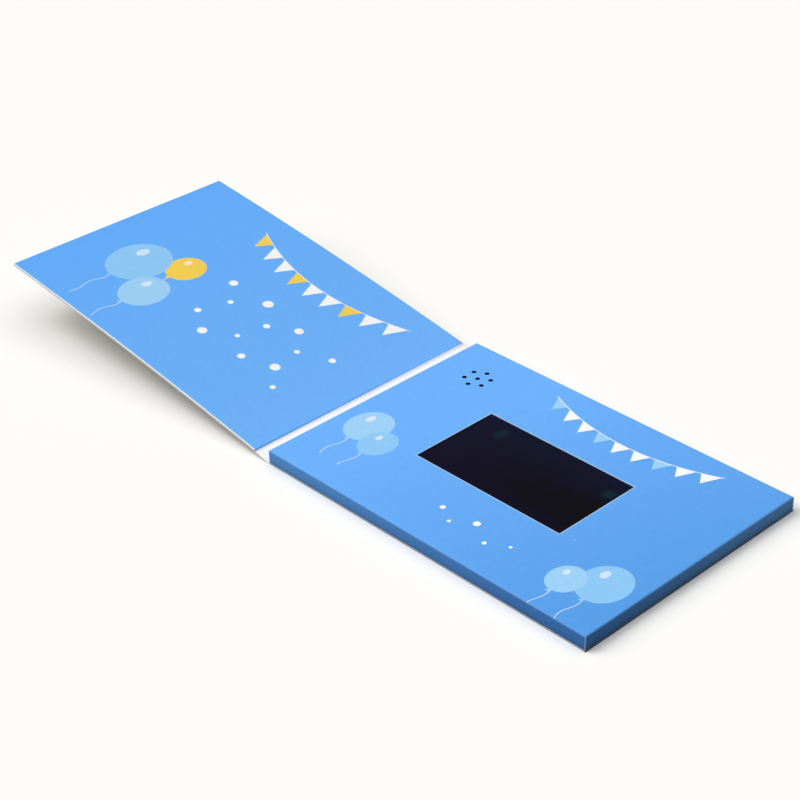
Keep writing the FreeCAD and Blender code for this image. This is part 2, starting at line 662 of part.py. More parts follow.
def corner_strip(sketch, side_x, side_y, width, length, depth, start, end):
    """Thin strip along the diagonal of one corner of a rectangle, from start outside it to end inside it."""
    half = "(" + width + " / sqrt(2))"
    outer_x = "(" + length + " / 2 + " + start + ")"
    outer_y = "(" + depth + " / 2 + " + start + ")"
    inner_x = "(" + length + " / 2 - (" + end + "))"
    inner_y = "(" + depth + " / 2 - (" + end + "))"
    outline(sketch, [
        (side_x + "(" + outer_x + " - " + half + ")", side_y + outer_y),
        (side_x + "(" + inner_x + " - " + half + ")", side_y + inner_y),
        (side_x + inner_x, side_y + "(" + inner_y + " - " + half + ")"),
        (side_x + outer_x, side_y + "(" + outer_y + " - " + half + ")"),
    ])


def stadium(sketch, length, height):
    """Slot with rounded ends, centred on the sketch origin."""
    run = "(" + length + " - " + height + ") / 2"
    bulge = "(" + height + ") / 2 * 1.0001"
    outline(sketch, [
        ("-" + run, "-(" + height + ") / 2"),
        (run, "-(" + height + ") / 2", bulge, 1),
        (run, "(" + height + ") / 2"),
        ("-" + run, "(" + height + ") / 2", bulge, 1),
    ])


# Back board, foam and tapes


def build_packing():
    length = INNER_LENGTH + " - 2 * inner_clear"
    width = INNER_DEPTH + " - 2 * inner_clear"
    depth = "(" + TRAY_UNDERSIDE + " - " + BOARD_TOP + ")"
    plate("back_board", length, width, "board_card", z=FLAP_TOP)

    body = plate("foam_spacer", length, width, depth, z=BOARD_TOP)
    shifted_pocket(
        body, "screen_pocket", "lcd_length + 2 * pocket_clear", "lcd_depth + 2 * pocket_clear",
        LCD_X, LCD_Y, depth, depth,
    )
    board_low = PCB_NEAR_Y + " - pocket_clear"
    board_high = TRAY_DEPTH + " / 2"
    shifted_pocket(
        body, "board_pocket", "pcb_length + 2 * pocket_clear", board_high + " - (" + board_low + ")",
        PCB_X, "(" + board_high + " + " + board_low + ") / 2", depth, depth,
    )
    shifted_pocket(
        body, "battery_pocket",
        CELL_LENGTH + " + 2 * pocket_clear", "cell_depth + seal_depth + 3 * pocket_clear",
        CELL_X, CELL_Y + " + (seal_depth + pocket_clear) / 2", depth, depth,
    )
    sound = new_sketch(body, "speaker_pocket", x=SPEAKER_X, y=SPEAKER_Y, z=depth)
    circle(sound, "speaker_diameter + 2 * pocket_clear")
    pocket(body, sound, depth)
    tail_low = LCD_Y + " + lcd_depth / 2"
    shifted_pocket(
        body, "tail_channel", "tail_width + 4 * pocket_clear", PCB_NEAR_Y + " - (" + tail_low + ")",
        LCD_X, "(" + PCB_NEAR_Y + " + " + tail_low + ") / 2", depth, depth,
    )
    lead_end = "(" + PCB_LEFT + " + wire_pad)"
    shifted_pocket(
        body, "speaker_wire_channel", lead_end + " - " + SPEAKER_X, "wire_channel",
        "(" + lead_end + " + " + SPEAKER_X + ") / 2", SPEAKER_Y, depth, depth,
    )
    turn_y = "(" + WIRE_RUN_Y + " + wire_channel / 2)"
    shifted_pocket(
        body, "battery_wire_channel", "wire_channel", turn_y + " - " + CELL_END_Y,
        CELL_X, "(" + turn_y + " + " + CELL_END_Y + ") / 2", depth, depth,
    )
    turn_x = "(" + CELL_X + " + wire_channel / 2)"
    shifted_pocket(
        body, "board_wire_channel", turn_x + " - " + PCB_RIGHT, "wire_channel",
        "(" + turn_x + " + " + PCB_RIGHT + ") / 2", WIRE_RUN_Y, depth, depth,
    )

    plate("screen_foam_pad", "lcd_length", "lcd_depth", LCD_BASE + " - " + BOARD_TOP,
          LCD_X, LCD_Y, BOARD_TOP)

    tape = plate("screen_tape", "lcd_length", "lcd_depth", "lcd_tape", LCD_X, LCD_Y, LCD_TOP)
    shifted_pocket(
        tape, "tape_opening", VIEW_LENGTH, VIEW_DEPTH,
        "0", "-" + VIEW_SHIFT, "lcd_tape", "lcd_tape",
    )


# Screen module. Its bodies stand at the module's or the view's centre.


def build_bezel():
    body = plate("lcd_bezel", "lcd_length", "lcd_depth", "lcd_height", LCD_X, LCD_Y, LCD_BASE)
    hollow = new_sketch(body, "bezel_hollow")
    rectangle(hollow, "lcd_length - 2 * bezel_sheet", "lcd_depth - 2 * bezel_sheet")
    pocket(body, hollow, "lcd_height - bezel_sheet", reverse=True)
    shifted_pocket(
        body, "bezel_view", VIEW_LENGTH, VIEW_DEPTH,
        "0", "-" + VIEW_SHIFT, "lcd_height", "bezel_sheet",
    )
    notch = new_sketch(
        body, "bezel_tail_notch", "XZ_Plane",
        y="(lcd_height - bezel_sheet) / 2", z="-lcd_depth / 2 + overcut",
    )
    rectangle(notch, "tail_width + 2 * view_clear", "lcd_height - bezel_sheet")
    pocket(body, notch, "2 * overcut")
    outer_x = amount("lcd_length") / 2
    outer_y = amount("lcd_depth") / 2
    round_edges(
        body, "bezel_corners",
        lambda point, edge: upright(edge) and near(abs(point.x), outer_x) and near(abs(point.y), outer_y),
        "bezel_round",
    )


def build_glass():
    plate("lcd_polariser", VIEW_LENGTH + " - 2 * view_clear", VIEW_DEPTH + " - 2 * view_clear",
          "bezel_sheet", LCD_X, VIEW_Y, LCD_TOP + " - bezel_sheet")
    plate("lcd_front_glass", GLASS_LENGTH, GLASS_DEPTH, "glass_sheet", LCD_X, VIEW_Y, GLASS_FRONT)
    plate("lcd_rear_glass", GLASS_LENGTH, GLASS_DEPTH + " + glass_ledge", "glass_sheet",
          LCD_X, VIEW_Y + " + glass_ledge / 2", GLASS_REAR)
    plate("lcd_driver_chip", "driver_length", "driver_depth", "driver_height",
          LCD_X, GLASS_EDGE_Y + " + driver_gap + driver_depth / 2", GLASS_FRONT)


def build_backlight():
    """Rear frame, stepped inside for the glass and for the light guide, and what lies in it."""
    frame_length = "(lcd_length - 2 * bezel_sheet - 2 * view_clear)"
    frame_depth = "(lcd_depth - 2 * bezel_sheet - 2 * view_clear)"
    frame_height = "(lcd_height - bezel_sheet)"
    frame = plate("lcd_rear_frame", frame_length, frame_depth, frame_height, LCD_X, LCD_Y, LCD_BASE)
    shifted_pocket(
        frame, "glass_recess",
        GLASS_LENGTH + " + 2 * glass_clear", GLASS_DEPTH + " + glass_ledge + 2 * glass_clear",
        "0", "glass_ledge / 2 - " + VIEW_SHIFT, frame_height, "2 * glass_sheet",
    )
    guide_length = "(" + GLASS_LENGTH + " - 2 * film_margin)"
    guide_depth = "(" + GLASS_DEPTH + " - 2 * film_margin)"
    strip = "(led_depth + led_strip)"
    below_glass = "(" + frame_height + " - 2 * glass_sheet)"
    shifted_pocket(
        frame, "guide_recess", guide_length, guide_depth,
        "0", "-" + VIEW_SHIFT, below_glass, below_glass + " - frame_floor",
    )
    # Way out for the tail over the frame's far wall
    shifted_pocket(
        frame, "frame_tail_notch", "tail_width + 2 * view_clear", "lcd_depth / 2",
        "0", "lcd_depth / 2", frame_height, "2 * glass_sheet",
    )
    guide = LCD_BASE + " + frame_floor"
    guide_height = "(" + below_glass + " - frame_floor - film_stack)"
    plate("lcd_light_guide", guide_length, guide_depth + " - " + strip, guide_height,
          LCD_X, VIEW_Y + " + " + strip + " / 2", guide)
    plate("lcd_optical_films", guide_length, guide_depth, "film_stack",
          LCD_X, VIEW_Y, guide + " + " + guide_height)

    # LED strip along the near edge, its LEDs facing the light guide
    edge_y = VIEW_Y + " - " + guide_depth + " / 2"
    body = new_body("lcd_led_strip", LCD_X, edge_y, guide)
    tape = new_sketch(body, "led_flex", y="led_strip / 2")
    rectangle(tape, guide_length, "led_strip")
    pad(body, tape, guide_height)
    lamp_run = "(" + guide_length + " - 2 * led_margin)"
    lamp = new_sketch(body, "led_lamp", x="-" + lamp_run + " / 2", y="led_strip + led_depth / 2")
    rectangle(lamp, "led_length", "led_depth")
    row_of(body, pad(body, lamp, guide_height), lamp, lamp_run, "led_count")


def build_tail():
    """Flex tail: bonded to the ledge, out over the frame, down, and soldered along the main board's edge."""
    body = new_body("lcd_flex_tail", LCD_X)
    sketch = new_sketch(body, "tail_section", "YZ_Plane")
    start = GLASS_EDGE_Y + " + glass_ledge - tail_bond"
    drop = "(" + LCD_Y + " + lcd_depth / 2 + tail_sheet + view_clear)"
    high = GLASS_FRONT
    low = PCB_TOP
    end = "(" + PCB_NEAR_Y + " + tail_pads)"
    outer = "(tail_bend + tail_sheet)"
    outline(sketch, [
        (start, high),
        (drop + " - tail_bend", high, "tail_bend", -1),
        (drop, high + " - tail_bend"),
        (drop, low + " + " + outer, outer, 1),
        (drop + " + " + outer, low),
        (end, low),
        (end, low + " + tail_sheet"),
        (drop + " + " + outer, low + " + tail_sheet", "tail_bend", -1),
        (drop + " + tail_sheet", low + " + " + outer),
        (drop + " + tail_sheet", high + " - tail_bend", outer, 1),
        (drop + " - tail_bend", high + " + tail_sheet"),
        (start, high + " + tail_sheet"),
    ])
    pad(body, sketch, "tail_width", midplane=True)


# Main board and what is soldered to it


def build_main_board():
    plate("board_tape", "pcb_length - 2 * tape_margin", "pcb_depth - 2 * tape_margin", "pcb_tape",
          PCB_X, PCB_Y, BOARD_TOP)
    body = plate("main_board", "pcb_length", "pcb_depth", "pcb_sheet", PCB_X, PCB_Y, PCB_BASE)
    round_edges(body, "board_corners", lambda point, edge: upright(edge), "pcb_round")
    holes = new_sketch(body, "tooling_holes", z="pcb_sheet")
    hole_x = "(pcb_length / 2 - pcb_hole_inset)"
    for side in ("", "-"):
        circle(holes, "pcb_hole", side + hole_x, "-pcb_depth / 2 + pcb_hole_inset")
    pocket(body, holes, "pcb_sheet")


def leaded_chip(label, size, sides=2):
    """Moulded chip with gull-wing leads on its near and far sides, or on all four.

    size is the first word of the names of its sizes.
    """
    body = new_body(label, PCB_LEFT + " + " + size + "_x", PCB_EDGE_Y + " - " + size + "_y", PCB_TOP)
    mould = new_sketch(body, label + "_mould", z="mould_lift")
    rectangle(mould, size + "_length", size + "_depth")
    pad(body, mould, size + "_height - mould_lift")
    top = amount(size + "_height")
    bevel_edges(body, label + "_edges", lambda point, edge: near(point.z, top), "mould_bevel")

    row_length = "(" + size + "_pitch * (" + size + "_pins - 1))"
    lead = new_sketch(body, label + "_lead", "YZ_Plane", z="-" + row_length + " / 2")
    root = "(" + size + "_depth / 2 - lead_sheet / 2)"
    knee = "(" + size + "_depth / 2 + " + size + "_reach * knee_share)"
    foot = "(" + size + "_depth / 2 + " + size + "_reach)"
    level = "(" + size + "_height / 2)"
    outline(lead, [
        (root, level),
        (knee + " - lead_sheet", level),
        (knee + " - lead_sheet", "0"),
        (foot, "0"),
        (foot, "lead_sheet"),
        (knee, "lead_sheet"),
        (knee, level + " + lead_sheet"),
        (root, level + " + lead_sheet"),
    ])
    first = pad(body, lead, size + "_pitch * lead_share", midplane=True)
    doc.recompute()
    row = body.newObject("PartDesign::LinearPattern", label + "_lead_row")
    row.Direction = (lead, ["N_Axis"])
    row.setExpression("Length", formula(row_length))
    row.setExpression("Occurrences", formula(size + "_pins"))
    ring = body.newObject("PartDesign::PolarPattern", label + "_lead_sides")
    ring.Axis = (mould, ["N_Axis"])
    ring.Angle = 360
    ring.Occurrences = sides
    both = body.newObject("PartDesign::MultiTransform", label + "_leads")
    both.Originals = [first]
    both.Transformations = [row, ring]
    body.Tip = both


def build_memory_chip():
    """Ball-grid package: a moulded block that stands on its narrower field of solder balls."""
    body = new_body("memory_chip", PCB_LEFT + " + memory_x", PCB_EDGE_Y + " - memory_y", PCB_TOP)
    balls = new_sketch(body, "memory_balls")
    rectangle(balls, "memory_base", "memory_base_depth")
    pad(body, balls, "memory_lift")
    mould = new_sketch(body, "memory_mould", z="memory_lift")
    rectangle(mould, "memory_length", "memory_depth")
    pad(body, mould, "memory_height")
    top = amount("memory_lift + memory_height")
    bevel_edges(body, "memory_edges", lambda point, edge: near(point.z, top), "mould_bevel")


def build_chips():
    leaded_chip("video_processor", "processor", sides=4)
    build_memory_chip()
    leaded_chip("audio_amplifier", "amplifier")
    leaded_chip("charge_controller", "charger")
    leaded_chip("magnet_sensor", "sensor")


def chip_row(label, size, axis="H_Axis"):
    """Row of like small parts as separate solids in one sub-part."""
    body = new_body(label, PCB_LEFT + " + " + size + "_x", PCB_EDGE_Y + " - " + size + "_y", PCB_TOP)
    chip = new_sketch(body, label + "_chip")
    rectangle(chip, size + "_length", size + "_depth")
    first = pad(body, chip, size + "_height")
    row_of(body, first, chip, size + "_pitch * (" + size + "_count - 1)", size + "_count", axis)


def build_passives():
    crystal = plate("crystal", "crystal_length", "crystal_depth", "crystal_height",
                    PCB_LEFT + " + crystal_x", PCB_EDGE_Y + " - crystal_y", PCB_TOP)
    round_edges(crystal, "crystal_corners", lambda point, edge: upright(edge), "crystal_corner")
    chip_row("power_inductors", "inductor", "V_Axis")
    chip_row("capacitors", "capacitor")
    chip_row("resistors", "resistor")


def build_usb_socket():
    """Micro-USB socket: folded steel shell, moulded insert with its tongue, and five contacts."""
    usb_x = PCB_LEFT + " + usb_inset"
    mouth_y = PCB_EDGE_Y + " + pcb_wall_gap / 2"
    shell = new_body("usb_shell", usb_x, mouth_y, PCB_TOP)
    outer = new_sketch(shell, "shell_outer", "XZ_Plane")
    shell_section(outer, "0")
    pad(shell, outer, "usb_depth")
    inner = new_sketch(shell, "shell_inner", "XZ_Plane")
    shell_section(inner, "usb_wall")
    pocket(shell, inner, "usb_depth - usb_wall", reverse=True)

    insert = new_body("usb_insert", usb_x, mouth_y, PCB_TOP)
    block = new_sketch(insert, "insert_block", "XZ_Plane", z="usb_depth - usb_wall - insert_depth")
    shell_section(block, "usb_wall + slip_gap")
    pad(insert, block, "insert_depth - slip_gap")
    tongue = new_sketch(insert, "insert_tongue", "XZ_Plane", y="usb_height / 2", z="tongue_setback")
    rectangle(tongue, "tongue_length", "tongue_height")
    pad(insert, tongue, "usb_depth - usb_wall - insert_depth / 2 - tongue_setback")

    contacts = new_body("usb_contacts", usb_x, mouth_y, PCB_TOP)
    strip = new_sketch(
        contacts, "contact_strip", "XZ_Plane",
        x="-contact_pitch * (contact_count - 1) / 2", y="(usb_height - tongue_height - contact_sheet) / 2",
        z="tongue_setback + contact_sheet",
    )
    rectangle(strip, "contact_width", "contact_sheet")
    first = pad(contacts, strip, "usb_depth - usb_wall - insert_depth - tongue_setback - contact_sheet")
    row_of(contacts, first, strip, "contact_pitch * (contact_count - 1)", "contact_count")


def shell_section(sketch, inset):
    """Section of the socket's shell: full width above the shoulder, tapered below, drawn in by inset."""
    half = "(usb_length / 2 - (" + inset + "))"
    low = "(" + inset + ")"
    high = "(usb_height - (" + inset + "))"
    shoulder = "(usb_height - usb_shoulder)"
    outline(sketch, [
        ("-(" + half + " - usb_taper)", low),
        (half + " - usb_taper", low),
        (half, shoulder),
        (half, high),
        ("-" + half, high),
        ("-" + half, shoulder),
    ])


# Battery


def build_battery():
    plate("battery_tape", CELL_LENGTH + " - 2 * tape_margin", "cell_depth - 2 * tape_margin",
          "cell_tape", CELL_X, CELL_Y, BOARD_TOP)
    body = plate("battery_cell", CELL_LENGTH, "cell_depth", "cell_height", CELL_X, CELL_Y, CELL_BASE)
    side_x = amount(CELL_LENGTH) / 2
    round_edges(
        body, "pouch_sides",
        lambda point, edge: near(abs(point.x), side_x) and not upright(edge),
        "cell_round",
    )
    seal = new_sketch(body, "pouch_seal", y="cell_depth / 2 + seal_depth / 2", z="seal_level")
    rectangle(seal, CELL_LENGTH + " - 2 * cell_round", "seal_depth")
    pad(body, seal, "seal_sheet")
    plate("battery_guard_board", CELL_LENGTH + " - 2 * guard_margin", "guard_depth", "guard_sheet",
          CELL_X, CELL_END_Y + " + seal_depth - guard_depth / 2", SEAL_TOP)


def wire(label, points, level):
    """Lead along a hand-bent route of straight stretches that starts along X or Y."""
    body = new_body(label)
    path = new_sketch(body, label + "_path", z=level)
    outline(path, points, closed=False)
    start_x, start_y = points[0]
    if near(amount(start_y), amount(points[1][1])):
        ring = new_sketch(body, label + "_ring", "YZ_Plane", x=start_y, y=level, z=start_x)
    else:
        ring = new_sketch(body, label + "_ring", "XZ_Plane", x=start_x, y=level, z="-(" + start_y + ")")
    circle(ring, "wire_diameter")
    pipe = body.newObject("PartDesign::AdditivePipe", label + "_pipe")
    pipe.Profile = ring
    pipe.Spine = (path, [])
    pipe.Transition = "Right corner"


def build_leads():
    level = PCB_TOP + " + wire_diameter / 2"
    for label, side in (("battery_lead_red", "0.5"), ("battery_lead_black", "-0.5")):
        x = "(" + CELL_X + " + (" + side + ") * wire_pitch)"
        y = "(" + WIRE_RUN_Y + " + (" + side + ") * wire_pitch)"
        bend = "(wire_bend + (" + side + ") * wire_pitch)"
        wire(label, [
            (x, CELL_END_Y + " + seal_depth"),
            (x, y + " - " + bend),
            (x + " - " + bend, y),
            (PCB_RIGHT + " - wire_pad", y),
        ], level)
    for label, side in (("speaker_lead_red", "0.5"), ("speaker_lead_black", "-0.5")):
        y = "(" + SPEAKER_Y + " + (" + side + ") * wire_pitch)"
        wire(label, [
            (SPEAKER_X + " + speaker_diameter / 2", y),
            (PCB_LEFT + " + wire_pad", y),
        ], level)


# Loudspeaker: turned sections, with the cone and its coil free to move in the magnet's gap

COIL_OUT = "(coil_radius + coil_wall / 2)"
COIL_IN = "(coil_radius - coil_wall / 2)"
CUP_BORE = "(" + COIL_OUT + " + coil_gap)"
CUP_OUT = "(" + CUP_BORE + " + cup_wall)"
POLE_RADIUS = "(" + COIL_IN + " - coil_gap)"
CONE_LEVEL = "(speaker_height - cone_sheet)"
COIL_FOOT = "(" + CONE_LEVEL + " - coil_height)"


def turned_part(label, corners, z=SPEAKER_BASE):
    """Turned piece of the loudspeaker, its section given from the loudspeaker's axis outwards."""
    body = new_body(label, SPEAKER_X, SPEAKER_Y, z)
    sketch = new_sketch(body, label + "_section", "XZ_Plane")
    outline(sketch, corners)
    turn = body.newObject("PartDesign::Revolution", label + "_turn")
    turn.Profile = sketch
    turn.ReferenceAxis = (sketch, ["V_Axis"])
    turn.Angle = 360


def ring_part(label, inner, outer, low, high, z=SPEAKER_BASE):
    """Plain ring or disc of the loudspeaker."""
    turned_part(label, [(inner, low), (outer, low), (outer, high), (inner, high)], z)


def build_speaker():
    outer = "speaker_diameter / 2"
    inner = "(" + outer + " - speaker_wall)"
    cone_top = "(" + CONE_LEVEL + " + cone_sheet)"
    turned_part("speaker_frame", [
        (CUP_OUT, "0"),
        (outer, "0"),
        (outer, CONE_LEVEL),
        (inner, CONE_LEVEL),
        (inner, "speaker_floor"),
        (CUP_OUT, "speaker_floor"),
    ])
    ring_part("speaker_surround", "cone_radius + cone_gap", outer, CONE_LEVEL, cone_top)
    turned_part("speaker_cone", [
        ("cone_radius", CONE_LEVEL),
        ("cone_radius", cone_top),
        ("dip_radius", cone_top),
        ("dip_radius", cone_top + " - cone_dip"),
        ("0", cone_top + " - cone_dip"),
        ("0", CONE_LEVEL + " - cone_dip"),
        ("dip_radius + cone_sheet", CONE_LEVEL + " - cone_dip"),
        ("dip_radius + cone_sheet", CONE_LEVEL),
    ])
    ring_part("speaker_voice_coil", COIL_IN, COIL_OUT, COIL_FOOT, CONE_LEVEL)
    turned_part("speaker_magnet_cup", [
        ("0", "0"),
        (CUP_OUT, "0"),
        (CUP_OUT, "cup_height"),
        (CUP_BORE, "cup_height"),
        (CUP_BORE, "cup_wall"),
        ("0", "cup_wall"),
    ])
    plate_low = "(cup_height - pole_plate)"
    ring_part("speaker_magnet", "0", POLE_RADIUS, "cup_wall", plate_low)
    ring_part("speaker_pole_plate", "0", POLE_RADIUS, plate_low, "cup_height")
    ring_part("speaker_gasket", inner, outer, "0", "gasket_height", SPEAKER_TOP)
    mesh = new_body("speaker_mesh", SPEAKER_X, SPEAKER_Y, SPEAKER_TOP + " + gasket_height")
    disc = new_sketch(mesh, "mesh_disc")
    circle(disc, "speaker_diameter")
    pad(mesh, disc, "mesh_sheet")


def main():
    build_back_panel()
    build_spine_strip()
    build_cover()
    build_tray()
    build_packing()
    build_bezel()
    build_glass()
    build_backlight()
    build_tail()
    build_main_board()
    build_chips()
    build_passives()
    build_usb_socket()
    build_battery()
    build_leads()
    build_speaker()
    doc.recompute()

    faults = [item.Label for item in doc.Objects if "Invalid" in item.State or "Error" in item.State]
    for part in sub_parts:
        if part.Shape.isNull() or not part.Shape.isValid():
            faults.append(part.Label)
    if faults:
        raise RuntimeError("These did not build: " + ", ".join(faults))

    os.makedirs("parts", exist_ok=True)
    for part in sub_parts:
        part.Shape.exportStep("parts/" + part.Label + ".step")
        print("%-22s %10.2f mm3" % (part.Label, part.Shape.Volume))
    print(len(sub_parts), "sub-parts")


main()
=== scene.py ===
import math

import bmesh
import bpy
from mathutils import Matrix, Vector


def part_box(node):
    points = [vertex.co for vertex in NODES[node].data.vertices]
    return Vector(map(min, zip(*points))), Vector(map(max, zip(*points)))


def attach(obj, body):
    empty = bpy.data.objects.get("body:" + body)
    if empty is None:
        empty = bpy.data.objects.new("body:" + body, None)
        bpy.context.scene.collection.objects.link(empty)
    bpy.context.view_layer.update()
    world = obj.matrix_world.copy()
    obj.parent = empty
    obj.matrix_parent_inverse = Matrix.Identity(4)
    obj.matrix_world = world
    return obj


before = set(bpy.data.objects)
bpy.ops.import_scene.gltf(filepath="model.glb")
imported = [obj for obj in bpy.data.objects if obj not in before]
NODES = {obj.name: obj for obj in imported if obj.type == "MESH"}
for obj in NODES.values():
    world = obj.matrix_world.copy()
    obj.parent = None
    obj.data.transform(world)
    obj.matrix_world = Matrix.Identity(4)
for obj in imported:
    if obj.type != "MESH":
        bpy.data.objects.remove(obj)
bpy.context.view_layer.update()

# Camera
CAMERA_PLACE = (0.527225, -0.568629, 0.530651)
CAMERA_RIGHT = (0.6903405, 0.7230401, -0.0253586)
CAMERA_DOWN = (0.3661811, -0.3794205, -0.8496773)
CAMERA_FORWARD = (-0.6239723, 0.5772808, -0.5266929)

camera_data = bpy.data.cameras.new("camera")
camera_data.sensor_width = 36.0
camera_data.lens = 86.766
camera_data.clip_start = 0.01
camera_data.clip_end = 20.0
camera = bpy.data.objects.new("camera", camera_data)
turn = Matrix((CAMERA_RIGHT, -Vector(CAMERA_DOWN), -Vector(CAMERA_FORWARD))).transposed()
camera.matrix_world = Matrix.Translation(CAMERA_PLACE) @ turn.to_4x4()
bpy.context.scene.collection.objects.link(camera)
bpy.context.scene.camera = camera
bpy.context.scene.view_settings.view_transform = "Standard"


class Shade:
    """One material's nodes. Places are in millimetres of the object's own mesh."""

    def __init__(self, name):
        self.material = bpy.data.materials.new(name)
        self.material.use_nodes = True
        self.tree = self.material.node_tree
        self.bsdf = self.tree.nodes["Principled BSDF"]
        self.spot = None
        self.facing = None

    def put(self, socket, value):
        """Links a socket, or sets a plain value."""
        if isinstance(value, bpy.types.NodeSocket):
            self.tree.links.new(value, socket)
        elif socket.type == "RGBA" and len(value) == 3:
            socket.default_value = (*value, 1.0)
        else:
            socket.default_value = value

    def node(self, kind, inputs=(), **settings):
        made = self.tree.nodes.new(kind)
        for name, value in settings.items():
            setattr(made, name, value)
        for name, value in dict(inputs).items():
            self.put(made.inputs[name], value)
        return made

    def math(self, operation, *values, clamp=False):
        made = self.tree.nodes.new("ShaderNodeMath")
        made.operation = operation
        made.use_clamp = clamp
        for socket, value in zip(made.inputs, values):
            self.put(socket, value)
        return made.outputs[0]

    def place(self):
        """The point of the surface in millimetres, as a vector and as its three numbers."""
        if self.spot is None:
            point = self.node("ShaderNodeTexCoord").outputs["Object"]
            scaled = self.node("ShaderNodeVectorMath", operation="SCALE")
            self.put(scaled.inputs[0], point)
            scaled.inputs["Scale"].default_value = 1000.0
            parts = self.node("ShaderNodeSeparateXYZ", {"Vector": scaled.outputs[0]})
            self.spot = (scaled.outputs[0], *parts.outputs)
        return self.spot

    def normal(self):
        """The three numbers of the surface's direction in the object's own space."""
        if self.facing is None:
            outward = self.node("ShaderNodeTexCoord").outputs["Normal"]
            self.facing = self.node("ShaderNodeSeparateXYZ", {"Vector": outward}).outputs
        return self.facing

    def stretched(self, x, y, z):
        made = self.node("ShaderNodeVectorMath", operation="MULTIPLY")
        self.put(made.inputs[0], self.place()[0])
        made.inputs[1].default_value = (x, y, z)
        return made.outputs[0]

    def noise(self, scale, detail=2.0, roughness=0.5, vector=None):
        """Noise from 0 to 1, with its scale in waves per millimetre."""
        made = self.node(
            "ShaderNodeTexNoise",
            {
                "Vector": vector or self.place()[0],
                "Scale": scale,
                "Detail": detail,
                "Roughness": roughness,
            },
        )
        return made.outputs[0]

    def cells(self, scale, feature="F1", vector=None):
        made = self.node(
            "ShaderNodeTexVoronoi",
            {"Vector": vector or self.place()[0], "Scale": scale},
            feature=feature,
        )
        return made.outputs["Distance"]

    def spread(self, value, low, high, to_low=0.0, to_high=1.0):
        """Maps low..high to to_low..to_high, and holds it there beyond them."""
        made = self.node(
            "ShaderNodeMapRange",
            {
                "Value": value,
                "From Min": low,
                "From Max": high,
                "To Min": to_low,
                "To Max": to_high,
            },
        )
        return made.outputs[0]

    def blend(self, share, first, second, kind="MIX"):
        made = self.node("ShaderNodeMix", data_type="RGBA", blend_type=kind)
        self.put(made.inputs["Factor"], share)
        self.put(made.inputs[6], first)
        self.put(made.inputs[7], second)
        return made.outputs[2]

    def either(self, *masks):
        joined = masks[0]
        for mask in masks[1:]:
            joined = self.math("MAXIMUM", joined, mask)
        return joined

    def both(self, *masks):
        joined = masks[0]
        for mask in masks[1:]:
            joined = self.math("MULTIPLY", joined, mask)
        return joined

    def disc(self, x, y, radius, tall=1.0):
        """A printed disc, or an upright oval, with an edge 0.15 mm soft."""
        _, u, v, _ = self.place()
        across = self.math("SUBTRACT", u, x)
        along = self.math("DIVIDE", self.math("SUBTRACT", v, y), tall)
        away = self.math("SQRT", self.math("ADD", self.square(across), self.square(along)))
        return self.spread(away, radius - 0.08, radius + 0.08, 1.0, 0.0)

    def glow(self, x, y, radius, tall):
        """A soft oval that fades out at its radius."""
        _, u, v, _ = self.place()
        across = self.math("SUBTRACT", u, x)
        along = self.math("DIVIDE", self.math("SUBTRACT", v, y), tall)
        away = self.math("SQRT", self.math("ADD", self.square(across), self.square(along)))
        return self.spread(away, radius * 0.5, radius, 1.0, 0.0)

    def square(self, value):
        return self.math("MULTIPLY", value, value)

    def beyond(self, value, edge, soft=0.12):
        """1 where the value is above the edge."""
        return self.spread(value, edge - soft, edge + soft)

    def below(self, value, edge, soft=0.12):
        return self.spread(value, edge - soft, edge + soft, 1.0, 0.0)

    def within(self, value, low, high, soft=0.12):
        return self.both(self.beyond(value, low, soft), self.below(value, high, soft))

    def bump(self, height, depth):
        """Height runs from 0 to 1 and depth is in millimetres."""
        made = self.node("ShaderNodeBump", {"Strength": 1.0, "Distance": depth / 1000.0})
        self.put(made.inputs["Height"], height)
        self.put(self.bsdf.inputs["Normal"], made.outputs[0])

    def finish(self, **sockets):
        for name, value in sockets.items():
            self.put(self.bsdf.inputs[name.replace("_", " ")], value)
        return self.material


# The tray's window and outer planes, in millimetres
WINDOW = (-48.9, 45.7, -25.5, 27.5)
TRAY_SIDE_X = 104.7
TRAY_SIDE_Y = 73.7
TRAY_TOP = 8.1

# Print colours, in linear light; the side colours and the right end of the top's ground carry painted shade
SKY_LEFT = (0.142, 0.440, 1.000)
SKY_RIGHT_SHADED = (0.084, 0.336, 0.820)
SIDE_SHADED_PALE = (0.118, 0.405, 1.000)
SIDE_SHADED_DEEP = (0.041, 0.212, 0.640)
PALE_BLUE = (0.270, 0.590, 0.960)
PALER_BLUE = (0.340, 0.650, 0.970)
WHITE_INK = (0.960, 0.975, 0.990)
YELLOW_INK = (0.930, 0.640, 0.060)
CUT_PAPER = (0.480, 0.740, 1.000)
LIP_PAPER = (0.370, 0.570, 0.820)
SEAM_PAPER = (0.480, 0.740, 0.980)

# The loudspeaker's axis, in millimetres
SPEAKER = (-77.9, 46.9)


def sky_with_painted_falloff(shade):
    """The printed ground, painted paler towards the fold and darker towards the right: painted shade for the light
    falling off across the top.
    """
    _, x, y, _ = shade.place()
    # Painted shade: the ground darkens from left to right as the light falls off
    slope = shade.math("SUBTRACT", x, shade.math("MULTIPLY", y, 0.25))
    share = shade.spread(slope, -60.0, 125.0)
    return shade.blend(share, SKY_LEFT, SKY_RIGHT_SHADED)


def sides_painted_shade(shade):
    """The side walls' blue, deeper than the top's and deeper still towards the near right corner and towards the foot:
    all painted shade.
    """
    _, x, y, z = shade.place()
    along_x = shade.spread(x, TRAY_SIDE_X, -TRAY_SIDE_X)
    along_y = shade.spread(y, -TRAY_SIDE_Y, TRAY_SIDE_Y)
    # Painted shade: deeper towards the near right corner
    ground = shade.blend(shade.math("ADD", along_x, along_y, clamp=True), SIDE_SHADED_DEEP, SIDE_SHADED_PALE)
    # Painted shade: darker towards the foot of each wall
    return shade.blend(shade.spread(z, 5.5, 0.6, 0.0, 0.30), ground, (0.016, 0.072, 0.185))


